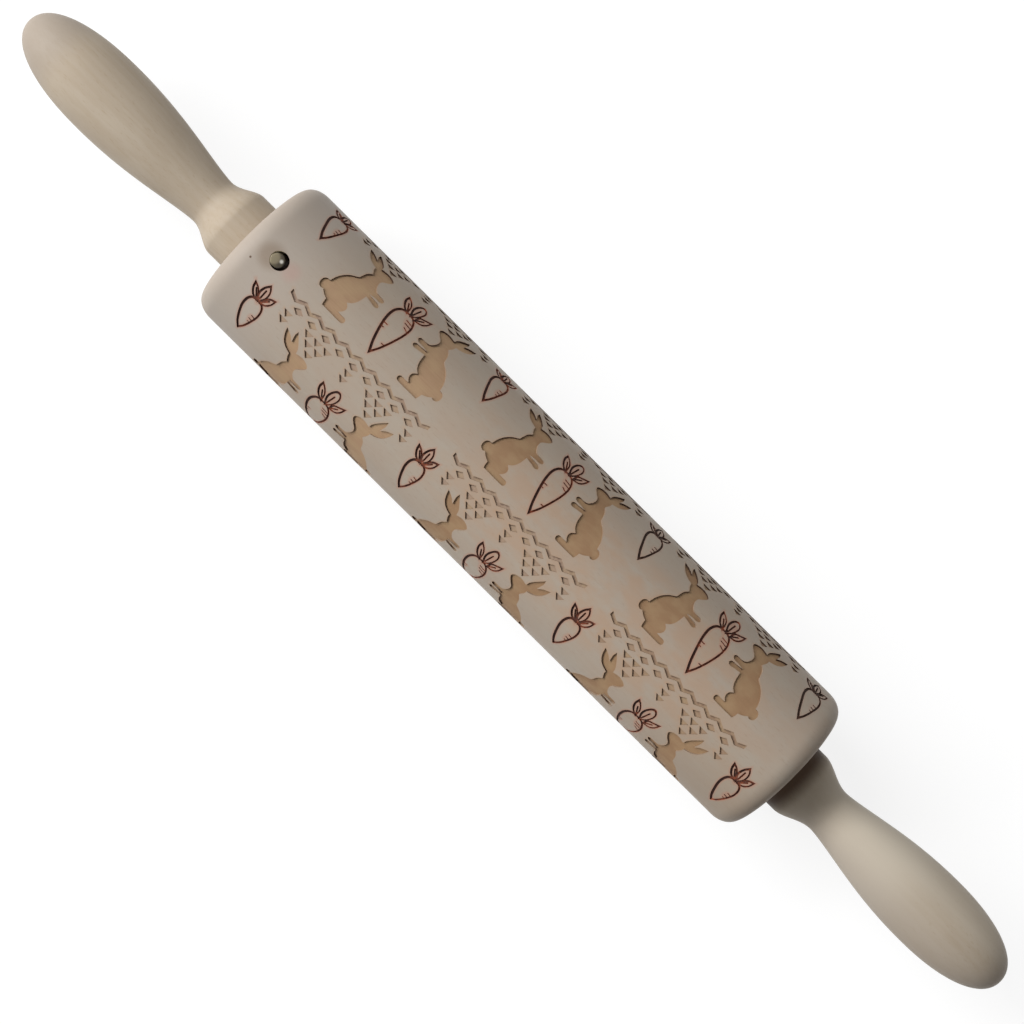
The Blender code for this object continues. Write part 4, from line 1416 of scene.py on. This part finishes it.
class ROLLINGPIN_OT_make_handles(bpy.types.Operator):
    """Turns the two beech handles with their spigots"""
    bl_idname = "rollingpin.make_handles"
    bl_label = "Turned Handles"

    def execute(self, context):
        settings = context.scene.rolling_pin
        material = make_handle_beech(settings.finish)
        half = settings.barrel.length / 2
        for name, handle, side in (("left_handle", settings.left_handle, -1),
                                   ("right_handle", settings.right_handle, 1)):
            profile = handle_profile(handle, settings.spigot, settings.pins.inset)
            placed = [(side * (half + x), radius) for x, radius in profile]
            mesh = turn(name, placed, settings.spigot.sides, material)
            mesh.transform(on_axis_place(BARREL_MIDDLE))
            add_piece(name + "_turned", mesh, name, [name])
        return {"FINISHED"}


def pin_profile(barrel, pins):
    """Half outline of a pin about its own axis: chamfered tip, shoulder, domed top."""
    top = barrel.radius - pins.sink
    profile = [(pins.tip, 0.0), (pins.tip, pins.radius - pins.tip_chamfer),
               (pins.tip + pins.tip_chamfer, pins.radius),
               (top - pins.dome - pins.shoulder, pins.radius)]
    profile += [(top - pins.dome * (1 - sine), pins.top_radius * cosine)
                for cosine, sine in quarter_turn(DOME_STEPS)[:-1]]
    return profile + [(top, 0.0)]


def knock_top(mesh, pins, lowest):
    """Slants a pin's top and shifts it to one side; what lies lower stays straight."""
    for vertex in mesh.vertices:
        if vertex.co.x > lowest:
            vertex.co.x += pins.slant * vertex.co.dot(LEAN_TOWARDS)
            vertex.co += pins.top_shift * LEAN_TOWARDS


class ROLLINGPIN_OT_make_pins(bpy.types.Operator):
    """Makes the two domed steel pins that keep the handles in"""
    bl_idname = "rollingpin.make_pins"
    bl_label = "Steel Pins"

    def execute(self, context):
        settings = context.scene.rolling_pin
        barrel, pins = settings.barrel, settings.pins
        places = pin_hole_places(barrel, pins)
        material = make_pin_steel(settings.finish, hole_mouths(barrel, places))
        to_tip = Matrix.Translation((pins.tip, 0.0, 0.0))
        leaning = to_tip @ Matrix.Rotation(pins.lean, 4, LEAN_AXIS) @ to_tip.inverted()
        under_top = barrel.radius - pins.sink - pins.dome - pins.shoulder / 2
        for name, place in zip(("left_pin", "right_pin"), places):
            mesh = turn(name, pin_profile(barrel, pins), pins.sides, material)
            knock_top(mesh, pins, under_top)
            mesh.transform(place @ leaning)
            add_piece(name + "_domed", mesh, "roller", [name])
        return {"FINISHED"}


# Stage

def in_view(tree):
    """1 for what the camera sees, straight or in a gloss or a glass, and 0 for light."""
    path = add_node(tree, "ShaderNodeLightPath").outputs
    seen = path["Is Camera Ray"]
    for other in ("Is Glossy Ray", "Is Transmission Ray"):
        seen = add_node(tree, "ShaderNodeMath", {"operation": "MAXIMUM"},
                        {0: seen, 1: path[other]})
    return seen


def make_floor(stage):
    """Painted board: white to the camera where it is fully lit, with soft shadows."""
    material, tree, shader = start_material("white_painted_board", stage.floor, 0.9)
    mesh = bpy.data.meshes.new("floor")
    half = FLOOR_WIDTH / 2
    corners = ((-half, -half), (half, -half), (half, half), (-half, half))
    mesh.from_pydata([(x, y, FLOOR_HEIGHT) for x, y in corners], [], [(0, 1, 2, 3)])
    mesh.materials.append(material)
    floor = bpy.data.objects.new("floor", mesh)
    bpy.context.collection.objects.link(floor)
    seen = in_view(tree)
    tree.links.new(stain(tree, stage.floor, seen, 1.0, stage.floor_seen),
                   shader.inputs["Base Color"])
    strength = add_node(tree, "ShaderNodeMath", {"operation": "MULTIPLY"},
                        {0: seen, 1: FLOOR_GLOW})
    glow = add_node(tree, "ShaderNodeEmission", inputs={
        "Color": WHITE, "Strength": strength})
    both = add_node(tree, "ShaderNodeAddShader", inputs={0: shader, 1: glow})
    tree.links.new(both.outputs["Shader"], tree.nodes["Material Output"].inputs["Surface"])


def make_world(stage):
    """Even light from all sides, which the camera sees as white."""
    world = bpy.data.worlds.new("studio")
    world.use_nodes = True
    tree = world.node_tree
    even = tree.nodes["Background"]
    even.inputs["Color"].default_value = WHITE
    even.inputs["Strength"].default_value = stage.sky
    white = add_node(tree, "ShaderNodeBackground", inputs={
        "Color": WHITE, "Strength": 1.0})
    mixed = add_node(tree, "ShaderNodeMixShader", inputs={
        0: in_view(tree), 1: even, 2: white})
    tree.links.new(mixed.outputs["Shader"], tree.nodes["World Output"].inputs["Surface"])
    bpy.context.scene.world = world


def make_camera(stage):
    """Looks straight at the barrel's axis; a small shift frames it as in the photo."""
    data = bpy.data.cameras.new("camera")
    camera = bpy.data.objects.new("camera", data)
    bpy.context.collection.objects.link(camera)
    bpy.context.scene.camera = camera
    distance = stage.camera_distance
    data.lens = distance / stage.image_scale / IMAGE_SIDE * data.sensor_width
    data.shift_x, data.shift_y = CAMERA_SHIFT
    data.clip_start, data.clip_end = CAMERA_NEAR, CAMERA_FAR
    lean = Matrix.Rotation(-stage.camera_lean, 4, "X")
    camera.matrix_world = (on_axis_place(stage.camera_foot) @ lean
                           @ Matrix.Translation((0.0, 0.0, distance))
                           @ Matrix.Rotation(stage.camera_turn, 4, "Z"))


def make_key_lamp(stage):
    """One large soft lamp from the left handle's end and a little from the front."""
    data = bpy.data.lights.new("key", "AREA")
    data.shape = "RECTANGLE"
    data.size = stage.key_width
    data.size_y = stage.key_length
    data.energy = stage.key_power
    lamp = bpy.data.objects.new("key", data)
    bpy.context.collection.objects.link(lamp)
    lamp.matrix_world = (on_axis_place(0.0)
                         @ Matrix.Rotation(stage.key_turn, 4, "X")
                         @ Matrix.Rotation(-stage.key_lean, 4, "Y")
                         @ Matrix.Translation((0.0, 0.0, stage.key_distance)))


class ROLLINGPIN_OT_set_stage(bpy.types.Operator):
    """Sets up the floor, the light and the camera"""
    bl_idname = "rollingpin.set_stage"
    bl_label = "Studio Stage"

    def execute(self, context):
        stage = context.scene.rolling_pin.stage
        make_floor(stage)
        make_world(stage)
        make_key_lamp(stage)
        make_camera(stage)
        context.scene.view_settings.view_transform = "Standard"
        return {"FINISHED"}


class ROLLINGPIN_PT_panel(bpy.types.Panel):
    """Lists the rolling pin's operators and its sizes"""
    bl_label = "Rolling Pin"
    bl_idname = "ROLLINGPIN_PT_panel"
    bl_space_type = "VIEW_3D"
    bl_region_type = "UI"
    bl_category = "Rolling Pin"

    def draw(self, context):
        for operator in OPERATORS:
            self.layout.operator(operator.bl_idname)
        settings = context.scene.rolling_pin
        for key in RollingPinSettings.__annotations__:
            part = getattr(settings, key)
            box = self.layout.box()
            box.label(text=settings.bl_rna.properties[key].name)
            for size in type(part).__annotations__:
                box.prop(part, size)


OPERATORS = (ROLLINGPIN_OT_make_barrel, ROLLINGPIN_OT_make_handles,
             ROLLINGPIN_OT_make_pins, ROLLINGPIN_OT_set_stage)
CLASSES = (BarrelSettings, EngravingSettings, HandleSettings, SpigotSettings,
           PinSettings, FinishSettings, StageSettings, RollingPinSettings,
           *OPERATORS, ROLLINGPIN_PT_panel)


def register():
    for cls in CLASSES:
        bpy.utils.register_class(cls)
    bpy.types.Scene.rolling_pin = PointerProperty(type=RollingPinSettings)


def unregister():
    del bpy.types.Scene.rolling_pin
    for cls in reversed(CLASSES):
        bpy.utils.unregister_class(cls)


def main():
    register()
    right_handle = bpy.context.scene.rolling_pin.right_handle
    for key, value in RIGHT_HANDLE_SIZES.items():
        setattr(right_handle, key, value)
    bpy.ops.rollingpin.make_barrel()
    bpy.ops.rollingpin.make_handles()
    bpy.ops.rollingpin.make_pins()
    bpy.ops.rollingpin.set_stage()


if __name__ == "__main__":
    main()
